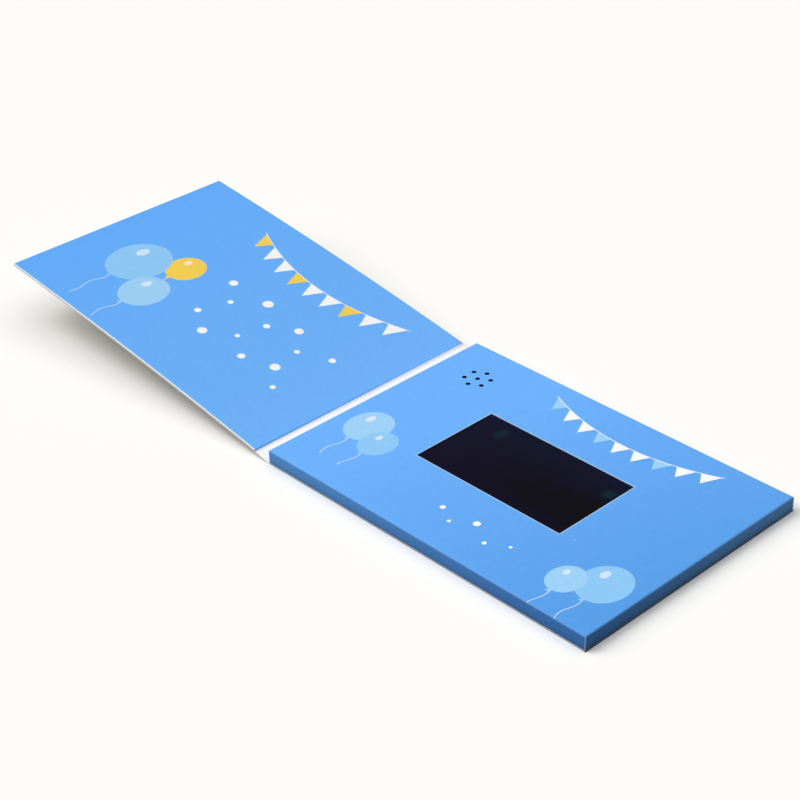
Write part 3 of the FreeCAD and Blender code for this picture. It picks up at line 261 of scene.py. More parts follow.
def balloon(shade, x, y, radius, ground, colour, shine=True):
    """A printed balloon with its knot, a string and a paler glint."""
    _, u, v, _ = shade.place()
    body = shade.disc(x, y, radius, 1.18)
    foot = y - radius * 1.18
    drop = shade.math("SUBTRACT", foot + 0.6, v)
    side = shade.math("ABSOLUTE", shade.math("SUBTRACT", u, x))
    knot = shade.both(
        shade.below(shade.math("SUBTRACT", side, shade.math("MULTIPLY", drop, 0.55)), 0.3),
        shade.within(drop, 0.0, 2.4),
    )
    sway = shade.math("SINE", shade.math("MULTIPLY", drop, 0.33))
    line = shade.math("SUBTRACT", shade.math("SUBTRACT", u, x), sway)
    string = shade.both(
        shade.below(shade.math("ABSOLUTE", line), 0.16, 0.1),
        shade.within(drop, 2.2, radius * 1.7),
    )
    tinted = shade.blend(string, ground, WHITE_INK)
    tinted = shade.blend(shade.either(body, knot), tinted, colour)
    if not shine:
        return tinted
    glint = shade.disc(x - radius * 0.36, y + radius * 0.44, radius * 0.17, 1.5)
    return shade.blend(shade.math("MULTIPLY", glint, 0.55), tinted, WHITE_INK)


def garland(shade, middle, top, half, sag, pitch, flag, ground, accent):
    """A string of little flags that hangs between two ends, every third one in the accent colour."""
    _, x, y, _ = shade.place()
    across = shade.math("SUBTRACT", x, middle)
    dip = shade.math("MULTIPLY", shade.square(shade.math("DIVIDE", across, half)), sag)
    line = shade.math("ADD", dip, top - sag)
    drop = shade.math("SUBTRACT", line, y)
    inside = shade.below(shade.math("ABSOLUTE", across), half, 0.1)
    string = shade.both(inside, shade.below(shade.math("ABSOLUTE", drop), 0.25))
    step = shade.math("DIVIDE", shade.math("ADD", across, half), pitch)
    share = shade.math("FRACT", step)
    off = shade.math("ABSOLUTE", shade.math("SUBTRACT", share, 0.5))
    reach = shade.math("MULTIPLY", shade.math("SUBTRACT", 0.40, off), flag / 0.40)
    flags = shade.both(inside, shade.beyond(drop, 0.0), shade.beyond(shade.math("SUBTRACT", reach, drop), 0.0))
    third = shade.below(shade.math("MODULO", shade.math("FLOOR", step), 3.0), 0.5, 0.1)
    ink = shade.blend(third, WHITE_INK, accent)
    hung = shade.blend(flags, ground, ink)
    return shade.blend(string, hung, WHITE_INK)


def dots(shade, spots, ground, colour):
    marks = [shade.disc(x, y, radius) for x, y, radius in spots]
    return shade.blend(shade.either(*marks), ground, colour)


def laminate(shade, colour, wear_and_highlight=None, dark=None):
    """Matt film over the print: soft mottling, an orange peel, fine grain, paler folds that are partly wear and partly
    painted highlight, and painted shade where dark is given.
    """
    mottle = shade.noise(0.45, 4.0, 0.6)
    grain = shade.noise(6.0, 2.0)
    peel = shade.noise(1.1, 2.0, 0.4)
    shaded = shade.blend(shade.spread(mottle, 0.3, 0.7, 0.0, 0.07), colour, (0.02, 0.12, 0.50))
    speck = shade.spread(grain, 0.55, 0.8, 0.0, 0.05)
    shaded = shade.blend(speck, shaded, (0.75, 0.85, 0.95))
    # Paler along the given folds and edges: partly wear, partly painted highlight
    if wear_and_highlight is not None:
        shaded = shade.blend(shade.math("MULTIPLY", wear_and_highlight, 0.06), shaded, WHITE_INK)
    gloss, bloom = 0.16, 0.03
    # Painted shade: near black without gloss where dark is given
    if dark is not None:
        shaded = shade.blend(dark, shaded, (0.0004, 0.002, 0.018))
        gloss, bloom = shade.spread(dark, 0.0, 1.0, gloss, 0.0), shade.spread(dark, 0.0, 1.0, bloom, 0.0)
    height = shade.math("ADD", shade.math("MULTIPLY", peel, 0.75), shade.math("MULTIPLY", grain, 0.25))
    shade.bump(height, 0.012)
    rough = shade.spread(mottle, 0.3, 0.7, 0.46, 0.56)
    return shade.finish(
        Base_Color=shaded,
        Roughness=rough,
        Specular_IOR_Level=gloss,
        Sheen_Weight=bloom,
        Sheen_Roughness=0.4,
    )


def tray_print():
    """The printed tray: garland over the screen, balloons at two corners, pale cut paper at the edges."""
    shade = Shade("tray_print")
    _, x, y, z = shade.place()
    facing = shade.normal()
    colour = sky_with_painted_falloff(shade)
    colour = balloon(shade, 86.0, -40.0, 12.5, colour, PALE_BLUE)
    colour = balloon(shade, 71.0, -49.0, 9.0, colour, PALER_BLUE)
    colour = balloon(shade, -85.0, -24.0, 12.0, colour, PALER_BLUE)
    colour = balloon(shade, -70.0, -32.0, 9.5, colour, PALE_BLUE)
    colour = garland(shade, 18.0, 63.0, 54.0, 12.0, 12.0, 9.0, colour, PALER_BLUE)
    specks = [(-8.0, -48.0, 1.5), (2.0, -54.0, 1.0), (13.0, -46.5, 1.9), (26.0, -55.0, 1.2), (37.0, -49.0, 0.9)]
    colour = dots(shade, specks, colour, WHITE_INK)
    lint = shade.disc(54.2, -24.1, 0.3)
    colour = shade.blend(shade.math("MULTIPLY", lint, 0.6), colour, WHITE_INK)
    # The sides carry no motifs, only a deeper blue that is painted shade
    level = shade.beyond(facing[2], 0.75, 0.2)
    colour = shade.blend(level, sides_painted_shade(shade), colour)
    # Cut paper round the window and at the upright corner seams
    left, right, near, far = WINDOW
    out_x = shade.math("MAXIMUM", shade.math("SUBTRACT", left, x), shade.math("SUBTRACT", x, right))
    out_y = shade.math("MAXIMUM", shade.math("SUBTRACT", near, y), shade.math("SUBTRACT", y, far))
    outside = shade.math("MAXIMUM", out_x, out_y)
    upright = shade.below(shade.math("ABSOLUTE", facing[2]), 0.4)
    high = shade.beyond(z, 7.2)
    lip = shade.both(high, shade.below(outside, 0.60, 0.2), shade.beyond(facing[2], 0.7))
    cut = shade.both(high, upright, shade.below(outside, 0.4))
    colour = shade.blend(shade.math("MULTIPLY", lip, 0.9), colour, LIP_PAPER)
    colour = shade.blend(cut, colour, CUT_PAPER)
    side_x = shade.beyond(shade.math("ABSOLUTE", x), TRAY_SIDE_X - 0.40, 0.12)
    side_y = shade.beyond(shade.math("ABSOLUTE", y), TRAY_SIDE_Y - 0.40, 0.12)
    seam = shade.both(side_x, side_y)
    colour = shade.blend(shade.math("MULTIPLY", seam, 0.9), colour, SEAM_PAPER)
    # Painted shade: the walls of the loudspeaker's holes and a ring on the top round each one turn near black without
    # gloss
    hole_wall_shade = shade.both(high, upright, shade.disc(SPEAKER[0], SPEAKER[1], 11.0))
    rims = [shade.disc(SPEAKER[0], SPEAKER[1], 1.32)]
    for step in range(6):
        angle = math.radians(90.0 + 60.0 * step)
        rims.append(shade.disc(SPEAKER[0] + 7.1 * math.cos(angle), SPEAKER[1] + 7.1 * math.sin(angle), 1.32))
    holes = shade.either(hole_wall_shade, *rims)
    # The walls are painted darker at the foot: painted shade where the wall meets the panel
    foot = shade.both(upright, shade.below(z, 1.3, 0.8))
    colour = shade.blend(shade.math("MULTIPLY", foot, 0.5), colour, (0.018, 0.045, 0.090))
    # The folds round the top are painted paler, partly wear and partly painted highlight
    near_side_x = shade.beyond(shade.math("ABSOLUTE", x), TRAY_SIDE_X - 0.75, 0.4)
    near_side_y = shade.beyond(shade.math("ABSOLUTE", y), TRAY_SIDE_Y - 0.75, 0.4)
    wear_highlight_noise = shade.spread(shade.noise(0.8, 3.0), 0.35, 0.75, 0.3, 1.0)
    fold = shade.both(shade.either(near_side_x, near_side_y), shade.beyond(z, TRAY_TOP - 0.7, 0.4), wear_highlight_noise)
    return laminate(shade, colour, fold, holes)


def cover_print():
    """The printed cover: a bunch of balloons, a small garland and scattered dots."""
    shade = Shade("cover_print")
    _, x, y, _ = shade.place()
    # Painted shade: the ground is darker towards the free end and paler towards the hinge, for the light falling off
    # across the cover
    colour = shade.blend(shade.spread(x, -322.0, -116.0), (0.113, 0.412, 1.000), (0.156, 0.460, 1.000))
    colour = balloon(shade, -259.0, -2.0, 10.5, colour, YELLOW_INK)
    colour = balloon(shade, -281.0, -18.0, 17.0, colour, PALE_BLUE)
    colour = balloon(shade, -256.0, -34.0, 13.0, colour, PALER_BLUE)
    colour = garland(shade, -200.0, 58.0, 60.0, 14.0, 13.3333, 12.0, colour, YELLOW_INK)
    specks = [
        (-232.0, 10.0, 2.6), (-219.0, -3.0, 1.7), (-205.0, 12.0, 3.1), (-190.0, -2.0, 2.0), (-176.0, 9.0, 2.6),
        (-163.0, -4.0, 1.6), (-224.0, -22.0, 2.0), (-208.0, -32.0, 2.8), (-193.0, -20.0, 1.5), (-178.0, -30.0, 2.2),
        (-160.0, -22.0, 2.9), (-146.0, 6.0, 2.0), (-148.0, -34.0, 1.6),
    ]
    colour = dots(shade, specks, colour, WHITE_INK)
    upright = shade.below(shade.normal()[2], 0.6)
    colour = shade.blend(upright, colour, WHITE_INK)
    margin = shade.below(y, -73.3, 0.15)
    colour = shade.blend(margin, colour, (0.92, 0.97, 1.0))
    # The cover's long edges are painted paler, partly wear and partly painted highlight
    edge_y = shade.beyond(shade.math("ABSOLUTE", y), 73.6, 0.15)
    wear_highlight_noise = shade.spread(shade.noise(0.8, 3.0), 0.35, 0.75, 0.2, 1.0)
    return laminate(shade, colour, shade.both(edge_y, wear_highlight_noise))


def white_paper(name, tone=(0.955, 0.955, 0.940), rough=0.62):
    """Coated white paper: faint clouding, fibres and a soft tooth."""
    shade = Shade(name)
    cloud = shade.noise(0.08, 3.0, 0.6)
    fibre = shade.noise(2.2, 4.0, 0.7, shade.stretched(1.0, 0.25, 1.0))
    tooth = shade.noise(7.0, 2.0)
    darker = tuple(channel * 0.97 for channel in tone)
    colour = shade.blend(shade.spread(cloud, 0.35, 0.7), tone, darker)
    colour = shade.blend(shade.spread(fibre, 0.6, 0.85, 0.0, 0.08), colour, (0.70, 0.68, 0.62))
    shade.bump(shade.math("ADD", shade.math("MULTIPLY", fibre, 0.6), shade.math("MULTIPLY", tooth, 0.4)), 0.02)
    return shade.finish(
        Base_Color=colour,
        Roughness=shade.spread(fibre, 0.3, 0.7, rough - 0.06, rough + 0.06),
        Specular_IOR_Level=0.4,
        Sheen_Weight=0.04,
    )


def back_paper():
    """The back panel's paper, with painted shade along the margin where the tray's walls stand on it."""
    shade = Shade("back_paper")
    _, x, y, z = shade.place()
    cloud = shade.noise(0.08, 3.0, 0.6)
    fibre = shade.noise(2.2, 4.0, 0.7, shade.stretched(1.0, 0.25, 1.0))
    colour = shade.blend(shade.spread(cloud, 0.35, 0.7), (0.955, 0.955, 0.940), (0.926, 0.926, 0.912))
    colour = shade.blend(shade.spread(fibre, 0.6, 0.85, 0.0, 0.08), colour, (0.70, 0.68, 0.62))
    # Painted shade: blue-grey on the near margin and dark navy along the right side, where the walls meet the panel;
    # the near edge face is tinted pale blue
    over = shade.beyond(z, 0.12, 0.05)
    near = shade.both(over, shade.below(y, -(TRAY_SIDE_Y - 0.3), 0.1))
    right = shade.beyond(x, TRAY_SIDE_X - 0.3, 0.1)
    front = shade.both(shade.below(y, -(TRAY_SIDE_Y + 0.2), 0.05), shade.below(z, 0.2, 0.05))
    colour = shade.blend(front, colour, (0.78, 0.90, 0.99))
    colour = shade.blend(shade.math("MULTIPLY", near, 0.62), colour, (0.10, 0.20, 0.30))
    colour = shade.blend(shade.math("MULTIPLY", right, 0.96), colour, (0.034, 0.050, 0.068))
    shade.bump(fibre, 0.02)
    return shade.finish(
        Base_Color=colour,
        Roughness=shade.spread(fibre, 0.3, 0.7, 0.56, 0.68),
        Specular_IOR_Level=0.4,
        Sheen_Weight=0.04,
    )


def hinge_paper():
    """The turned-down paper at the hinge: white, with the print's edge along its top."""
    shade = Shade("hinge_paper")
    _, x, y, _ = shade.place()
    fibre = shade.noise(2.2, 4.0, 0.7)
    white = shade.blend(shade.spread(fibre, 0.6, 0.85, 0.0, 0.05), (1.0, 0.995, 0.975), (0.84, 0.83, 0.80))
    edge = shade.math("ADD", x, shade.math("MULTIPLY", y, 0.0035))
    colour = shade.blend(shade.below(edge, -115.50, 0.12), white, (0.125, 0.375, 0.800))
    shade.bump(fibre, 0.01)
    return shade.finish(Base_Color=colour, Roughness=shade.spread(fibre, 0.3, 0.7, 0.56, 0.68), Specular_IOR_Level=0.3)


def grey_board():
    """Recycled board: dark and pale flecks in a felted grey ground."""
    shade = Shade("grey_board")
    felt = shade.noise(1.6, 5.0, 0.7)
    fleck = shade.cells(1.4)
    pale = shade.cells(0.9, vector=shade.stretched(1.0, 0.6, 1.0))
    colour = shade.blend(shade.spread(felt, 0.3, 0.7), (0.40, 0.39, 0.36), (0.30, 0.29, 0.27))
    colour = shade.blend(shade.below(fleck, 0.10, 0.06), colour, (0.10, 0.09, 0.09))
    colour = shade.blend(shade.math("MULTIPLY", shade.below(pale, 0.12, 0.06), 0.7), colour, (0.62, 0.60, 0.55))
    shade.bump(felt, 0.05)
    return shade.finish(Base_Color=colour, Roughness=shade.spread(felt, 0.3, 0.7, 0.82, 0.94))


def foam(name, light, dark, size):
    """Closed-cell foam: round cells with thin walls."""
    shade = Shade(name)
    cell = shade.cells(size)
    drift = shade.noise(0.15, 3.0)
    # Painted shade: darker between the cells, where the bump is low
    colour = shade.blend(shade.spread(cell, 0.1, 0.6), light, dark)
    colour = shade.blend(shade.spread(drift, 0.3, 0.7, 0.0, 0.2), colour, dark)
    shade.bump(shade.spread(cell, 0.0, 0.6, 1.0, 0.0), 0.10)
    return shade.finish(
        Base_Color=colour,
        Roughness=shade.spread(cell, 0.1, 0.6, 0.70, 0.92),
        Sheen_Weight=0.15,
    )


def clear_tape():
    """Double-sided tape: honey tint, small trapped bubbles and drawn streaks."""
    shade = Shade("clear_tape")
    bubble = shade.cells(0.8)
    streak = shade.noise(1.5, 3.0, 0.5, shade.stretched(0.08, 1.0, 1.0))
    colour = shade.blend(shade.spread(streak, 0.3, 0.7), (0.78, 0.70, 0.46), (0.66, 0.57, 0.33))
    colour = shade.blend(shade.below(bubble, 0.12, 0.05), colour, (0.92, 0.90, 0.82))
    shade.bump(shade.math("ADD", streak, shade.below(bubble, 0.12, 0.05)), 0.02)
    return shade.finish(
        Base_Color=colour,
        Roughness=shade.spread(streak, 0.3, 0.7, 0.18, 0.34),
        Coat_Weight=0.3,
        Coat_Roughness=0.12,
    )


def metal(name, bright, dark, rough, along=(0.06, 1.0, 1.0), scratch=3.0, pits=0.0):
    """Plated or rolled metal: drawn grain, a few pits and handling marks."""
    shade = Shade(name)
    grain = shade.noise(scratch, 4.0, 0.6, shade.stretched(*along))
    stain = shade.noise(0.25, 4.0, 0.65)
    colour = shade.blend(shade.spread(stain, 0.35, 0.75), bright, dark)
    colour = shade.blend(shade.spread(grain, 0.55, 0.8, 0.0, 0.25), colour, dark)
    pit = shade.math("MULTIPLY", shade.below(shade.cells(2.2), 0.12, 0.05), pits)
    colour = shade.blend(pit, colour, tuple(channel * 0.35 for channel in dark))
    shade.bump(shade.math("SUBTRACT", grain, pit), 0.006)
    return shade.finish(
        Base_Color=colour,
        Metallic=1.0,
        Roughness=shade.spread(grain, 0.3, 0.7, rough - 0.07, rough + 0.09),
    )


def screen_face():
    """The screen's anti-glare face: near black with a violet cast, painted bluer towards its left, far and near edges,
    two dim painted teal reflections and a wiped haze.
    """
    shade = Shade("screen_face")
    _, x, y, _ = shade.place()
    drift = shade.noise(0.035, 2.0, 0.5)
    haze = shade.noise(0.12, 4.0, 0.6, shade.stretched(1.0, 0.5, 1.0))
    cells = shade.noise(9.0, 0.0)
    colour = shade.blend(shade.spread(drift, 0.35, 0.65), (0.0046, 0.0030, 0.0098), (0.0034, 0.0034, 0.0046))
    # Painted reflection: bluer towards the left, far and near edges
    colour = shade.blend(shade.spread(x, 10.0, -45.0, 0.0, 0.6), colour, (0.0056, 0.0052, 0.0250))
    colour = shade.blend(shade.spread(y, 2.0, 26.0, 0.0, 0.8), colour, (0.0044, 0.0060, 0.0260))
    colour = shade.blend(shade.spread(y, -4.0, -26.0, 0.0, 0.8), colour, (0.0044, 0.0034, 0.0140))
    colour = shade.blend(shade.spread(haze, 0.52, 0.74, 0.0, 0.5), colour, (0.0064, 0.0040, 0.024))
    # Painted reflections: two dim teal glints
    glint = shade.either(shade.glow(-32.6, 17.6, 4.2, 1.5), shade.glow(40.5, 15.2, 4.6, 1.0))
    colour = shade.blend(shade.math("MULTIPLY", glint, 0.8), colour, (0.004, 0.020, 0.030))
    dust = shade.below(shade.cells(0.11), 0.008, 0.003)
    colour = shade.blend(shade.math("MULTIPLY", dust, 0.25), colour, (0.3, 0.3, 0.35))
    shade.bump(cells, 0.0012)
    return shade.finish(
        Base_Color=colour,
        Roughness=shade.spread(haze, 0.3, 0.8, 0.10, 0.22),
        Specular_IOR_Level=0.012,
    )


def glass(name, tint, rough):
    """Thin glass: green cast at its edges and smears that only show in its gloss."""
    shade = Shade(name)
    smear = shade.noise(0.3, 4.0, 0.6, shade.stretched(1.0, 0.3, 1.0))
    edge = shade.below(shade.math("ABSOLUTE", shade.normal()[2]), 0.5)
    pale = tuple(min(1.0, channel * 1.25) for channel in tint)
    colour = shade.blend(edge, pale, tint)
    shade.bump(smear, 0.004)
    return shade.finish(
        Base_Color=colour,
        Roughness=shade.spread(smear, 0.4, 0.8, rough, rough + 0.12),
        Transmission_Weight=0.75,
        IOR=1.5,
    )


def moulded(name, light, dark, rough, grain=4.0, depth=0.02, coat=0.0):
    """Moulded plastic: spark-eroded texture, flow marks and rubbed high spots."""
    shade = Shade(name)
    texture = shade.noise(grain, 3.0, 0.6)
    flow = shade.noise(0.3, 3.0, 0.5, shade.stretched(1.0, 0.35, 1.0))
    colour = shade.blend(shade.spread(flow, 0.3, 0.7), light, dark)
    rub = tuple(min(1.0, channel * 1.5 + 0.01) for channel in light)
    colour = shade.blend(shade.spread(texture, 0.62, 0.85, 0.0, 0.3), colour, rub)
    shade.bump(texture, depth)
    return shade.finish(
        Base_Color=colour,
        Roughness=shade.spread(texture, 0.3, 0.7, rough - 0.06, rough + 0.08),
        Coat_Weight=coat,
        Coat_Roughness=0.15,
    )


def chip(node):
    """A moulded package: grainy black body, a dimple at its first pin, tinned leads at its skirt."""
    low, high = (corner * 1000.0 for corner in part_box(node))
    middle, half = (low + high) / 2.0, (high - low) / 2.0
    shade = Shade("package_" + node)
    _, x, y, z = shade.place()
    texture = shade.noise(9.0, 2.0)
    flow = shade.noise(0.7, 3.0)
    body = shade.blend(shade.spread(flow, 0.3, 0.7), (0.018, 0.018, 0.020), (0.032, 0.032, 0.034))
    body = shade.blend(shade.spread(texture, 0.65, 0.85, 0.0, 0.4), body, (0.09, 0.09, 0.09))
    dimple = shade.disc(low.x + half.x * 0.42, high.y - half.y * 0.42, 0.14 * min(half.x, half.y))
    body = shade.blend(shade.math("MULTIPLY", dimple, 0.7), body, (0.006, 0.006, 0.006))
    off_x = shade.math("ABSOLUTE", shade.math("SUBTRACT", x, middle.x))
    off_y = shade.math("ABSOLUTE", shade.math("SUBTRACT", y, middle.y))
    skirt = shade.either(shade.beyond(off_x, half.x * 0.86, 0.03), shade.beyond(off_y, half.y * 0.93, 0.03))
    lead = shade.both(skirt, shade.below(z, high.z - 0.12, 0.03))
    tin = shade.blend(shade.noise(2.0, 3.0), (0.62, 0.62, 0.62), (0.45, 0.45, 0.46))
    shade.bump(shade.math("SUBTRACT", texture, shade.math("MULTIPLY", dimple, 3.0)), 0.012)
    return shade.finish(
        Base_Color=shade.blend(lead, body, tin),
        Metallic=lead,
        Roughness=shade.spread(texture, 0.3, 0.7, 0.42, 0.60),
    )


def small_parts(name, body, end_low, end_high, axis, tip):
    """Chip capacitors and resistors: a fired body between tinned ends."""
    shade = Shade(name)
    along = shade.place()[axis]
    grain = shade.noise(6.0, 3.0)
    dark = tuple(channel * 0.7 for channel in body)
    colour = shade.blend(shade.spread(grain, 0.3, 0.7), body, dark)
    ends = shade.either(shade.below(along, end_low + tip, 0.03), shade.beyond(along, end_high - tip, 0.03))
    tin = shade.blend(grain, (0.66, 0.66, 0.66), (0.48, 0.48, 0.49))
    shade.bump(grain, 0.02)
    return shade.finish(
        Base_Color=shade.blend(ends, colour, tin),
        Metallic=ends,
        Roughness=shade.spread(grain, 0.3, 0.7, 0.34, 0.55),
    )


def circuit_board(name):
    """Green solder resist over copper tracks, small vias with bare rims, pale glass-fibre edges."""
    shade = Shade(name)
    _, x, y, _ = shade.place()
    weave = shade.noise(5.0, 2.0)
    wander = shade.noise(0.35, 2.0)
    lanes = shade.math("FRACT", shade.math("ADD", shade.math("MULTIPLY", y, 1.25), shade.math("MULTIPLY", wander, 4.0)))
    track = shade.both(shade.within(lanes, 0.2, 0.55, 0.06), shade.beyond(shade.noise(0.12, 2.0), 0.47, 0.02))
    resist = shade.blend(shade.spread(weave, 0.3, 0.7), (0.012, 0.110, 0.045), (0.008, 0.080, 0.030))
    colour = shade.blend(track, resist, (0.030, 0.190, 0.075))
    hole = shade.cells(0.38)
    colour = shade.blend(shade.below(hole, 0.13, 0.02), colour, (0.60, 0.52, 0.30))
    # Painted shade: a near-black dot in each via for its open hole
    colour = shade.blend(shade.below(hole, 0.07, 0.015), colour, (0.01, 0.02, 0.01))
    edge = shade.below(shade.math("ABSOLUTE", shade.normal()[2]), 0.5)
    colour = shade.blend(edge, colour, shade.blend(weave, (0.50, 0.52, 0.30), (0.34, 0.36, 0.18)))
    shade.bump(shade.math("ADD", track, shade.math("MULTIPLY", weave, 0.3)), 0.03)
    return shade.finish(
        Base_Color=colour,
        Roughness=shade.spread(weave, 0.3, 0.7, 0.26, 0.40),
        Coat_Weight=0.25,
        Coat_Roughness=0.2,
    )


def flex_tail():
    """Amber film over fine copper tracks that run along it."""
    shade = Shade("flex_tail")
    _, x, _, _ = shade.place()
    lanes = shade.math("FRACT", shade.math("MULTIPLY", x, 2.0))
    track = shade.within(lanes, 0.25, 0.70, 0.05)
    drift = shade.noise(0.6, 3.0)
    film = shade.blend(shade.spread(drift, 0.3, 0.7), (0.46, 0.17, 0.02), (0.34, 0.11, 0.012))
    colour = shade.blend(shade.math("MULTIPLY", track, 0.8), film, (0.62, 0.30, 0.07))
    shade.bump(track, 0.02)
    return shade.finish(
        Base_Color=colour,
        Roughness=shade.spread(drift, 0.3, 0.7, 0.26, 0.40),
        Coat_Weight=0.3,
        Coat_Roughness=0.1,
    )


def pouch():
    """Aluminium laminate drawn over the cell: creased foil, a soft emboss and dark scuff streaks."""
    shade = Shade("cell_pouch")
    crease = shade.noise(0.22, 5.0, 0.7, shade.stretched(1.0, 0.45, 1.0))
    emboss = shade.noise(2.4, 2.0)
    scuff = shade.noise(1.2, 4.0, 0.7, shade.stretched(0.15, 1.0, 1.0))
    colour = shade.blend(shade.spread(crease, 0.3, 0.7), (0.55, 0.56, 0.58), (0.42, 0.43, 0.45))
    colour = shade.blend(shade.spread(scuff, 0.6, 0.8, 0.0, 0.35), colour, (0.28, 0.28, 0.30))
    shade.bump(shade.math("ADD", crease, shade.math("MULTIPLY", emboss, 0.15)), 0.12)
    return shade.finish(
        Base_Color=colour,
        Metallic=0.85,
        Roughness=shade.spread(emboss, 0.3, 0.7, 0.34, 0.48),
    )


def insulation(name, colour, dark):
    """Wire insulation: drawn ripples and a waxy gloss."""
    shade = Shade(name)
    ripple = shade.noise(2.5, 3.0, 0.5, shade.stretched(0.3, 0.3, 1.0))
    grime = shade.noise(0.5, 3.0)
    toned = shade.blend(shade.spread(grime, 0.35, 0.75), colour, dark)
    shade.bump(ripple, 0.02)
    return shade.finish(
        Base_Color=toned,
        Roughness=shade.spread(ripple, 0.3, 0.7, 0.34, 0.48),
        Coat_Weight=0.1,
    )


def rings(name, light, dark, pitch, depth, rough, metallic=0.0, centre=SPEAKER):
    """A surface with fine rings round the loudspeaker's axis, such as a pressed cone or a winding."""
    shade = Shade(name)
    _, x, y, z = shade.place()
    off_x, off_y = shade.math("SUBTRACT", x, centre[0]), shade.math("SUBTRACT", y, centre[1])
    away = shade.math("SQRT", shade.math("ADD", shade.square(off_x), shade.square(off_y)))
    turns = shade.math("MULTIPLY", shade.math("ADD", away, z), 2.0 * math.pi / pitch)
    wave = shade.spread(shade.math("SINE", turns), -1.0, 1.0)
    fibre = shade.noise(3.0, 4.0, 0.7)
    # Painted shade: darker in the rings' troughs, where the bump is low
    colour = shade.blend(wave, dark, light)
    colour = shade.blend(shade.spread(fibre, 0.55, 0.85, 0.0, 0.4), colour, dark)
    shade.bump(shade.math("ADD", wave, shade.math("MULTIPLY", fibre, 0.4)), depth)
    return shade.finish(
        Base_Color=colour,
        Metallic=metallic,
        Roughness=shade.spread(fibre, 0.3, 0.7, rough - 0.06, rough + 0.08),
    )


def dust_mesh():
    """Black woven dust mesh: threads over and under, with painted shade in the gaps between."""
    shade = Shade("dust_mesh")
    _, x, y, _ = shade.place()
    warp = shade.math("SINE", shade.math("MULTIPLY", x, 14.0))
    weft = shade.math("SINE", shade.math("MULTIPLY", y, 14.0))
    weave = shade.spread(shade.math("MAXIMUM", warp, weft), -0.2, 1.0)
    lint = shade.noise(2.0, 4.0)
    # Painted shade: darker in the gaps between the threads
    colour = shade.blend(weave, (0.001, 0.001, 0.002), (0.005, 0.006, 0.012))
    colour = shade.blend(shade.spread(lint, 0.7, 0.9, 0.0, 0.10), colour, (0.08, 0.08, 0.10))
    shade.bump(weave, 0.06)
    return shade.finish(Base_Color=colour, Roughness=shade.spread(lint, 0.3, 0.7, 0.72, 0.88), Specular_IOR_Level=0.1)


def edge_of(node, axis):
    low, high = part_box(node)
    return low[axis - 1] * 1000.0, high[axis - 1] * 1000.0


def part_material(node, slot):
    """Parts whose look depends on their own size or place."""
    if node == "back_panel":
        return back_paper()
    if node == "spine_strip":
        return white_paper("spine_paper", (1.0, 0.99, 0.965))
    if slot == "chip_black":
        return chip(node)
    if node == "capacitors":
        return small_parts("capacitor_body", (0.44, 0.31, 0.19), *edge_of(node, 2), 2, 0.35)
    if node == "resistors":
        return small_parts("resistor_body", (0.015, 0.016, 0.018), *edge_of(node, 2), 2, 0.30)
    return None


steel = metal("steel_sheet", (0.56, 0.57, 0.58), (0.40, 0.41, 0.42), 0.34)
FINISHES = {
    "outer_sheet": white_paper("outer_paper"),
    "printed_liner": cover_print(),
    "core_card": white_paper("core_card_stock", (0.940, 0.955, 0.965), 0.78),
    "printed_card": tray_print(),
    "grey_board": grey_board(),
    "foam": foam("white_foam", (0.84, 0.84, 0.82), (0.62, 0.62, 0.60), 1.5),
    "black_foam": foam("black_foam_pad", (0.022, 0.022, 0.022), (0.008, 0.008, 0.008), 2.2),
    "clear_tape": clear_tape(),
    "magnet_nickel": metal("nickel_plate", (0.62, 0.60, 0.57), (0.45, 0.43, 0.40), 0.22, (1.0, 1.0, 0.1), 5.0, 0.6),
    "steel": steel,
    "screen_black": screen_face(),
    "glass": glass("display_glass", (0.62, 0.78, 0.70), 0.02),
    "white_plastic": moulded("white_frame", (0.80, 0.80, 0.77), (0.72, 0.72, 0.69), 0.42),
    "clear_plastic": glass("light_guide", (0.80, 0.86, 0.90), 0.10),
    "amber_flex": flex_tail(),
    "green_board": circuit_board("board_resist"),
    "black_plastic": moulded("black_moulding", (0.012, 0.012, 0.013), (0.007, 0.007, 0.008), 0.46),
    "gold_contact": metal("gold_plate", (0.80, 0.56, 0.20), (0.62, 0.40, 0.12), 0.20, (1.0, 0.1, 1.0), 6.0, 0.3),
    "battery_pouch": pouch(),
    "red_wire": insulation("red_insulation", (0.46, 0.014, 0.010), (0.28, 0.008, 0.006)),
    "black_wire": insulation("black_insulation", (0.012, 0.012, 0.012), (0.006, 0.006, 0.006)),
    "membrane": rings("cone_paper", (0.030, 0.030, 0.033), (0.012, 0.012, 0.014), 1.1, 0.05, 0.60),
    "copper": rings("coil_wire", (0.66, 0.27, 0.12), (0.30, 0.10, 0.04), 0.18, 0.05, 0.34, 0.9),
    "mesh": dust_mesh(),
}
for name, thing in NODES.items():
    slot = thing.data.materials[0].name
    finish = part_material(name, slot) or FINISHES[slot]
    thing.material_slots[0].material = finish


def shell_object(name, points, faces):
    mesh = bpy.data.meshes.new(name)
    mesh.from_pydata(points, [], faces)
    mesh.update()
    made = bpy.data.objects.new(name, mesh)
    bpy.context.scene.collection.objects.link(made)
    return made


# The cover's frame: its crease, its tilt and the bow of its panel, in millimetres
CREASE = Vector((-114.3902, 0.0, 2.296))
TILT = math.radians(8.3)
BOW_RADIUS = (105.0**2 + 1.7**2) / 3.4


def on_cover(along, across, height):
    """A point given by its distance from the crease and its height over the outer sheet."""
    rise = 1.7 - BOW_RADIUS + math.sqrt((BOW_RADIUS + height) ** 2 - (105.0 - along) ** 2)
    x = CREASE.x - along * math.cos(TILT) + rise * math.sin(TILT)
    z = CREASE.z + along * math.sin(TILT) + rise * math.cos(TILT)
    return Vector((x, across, z)) / 1000.0


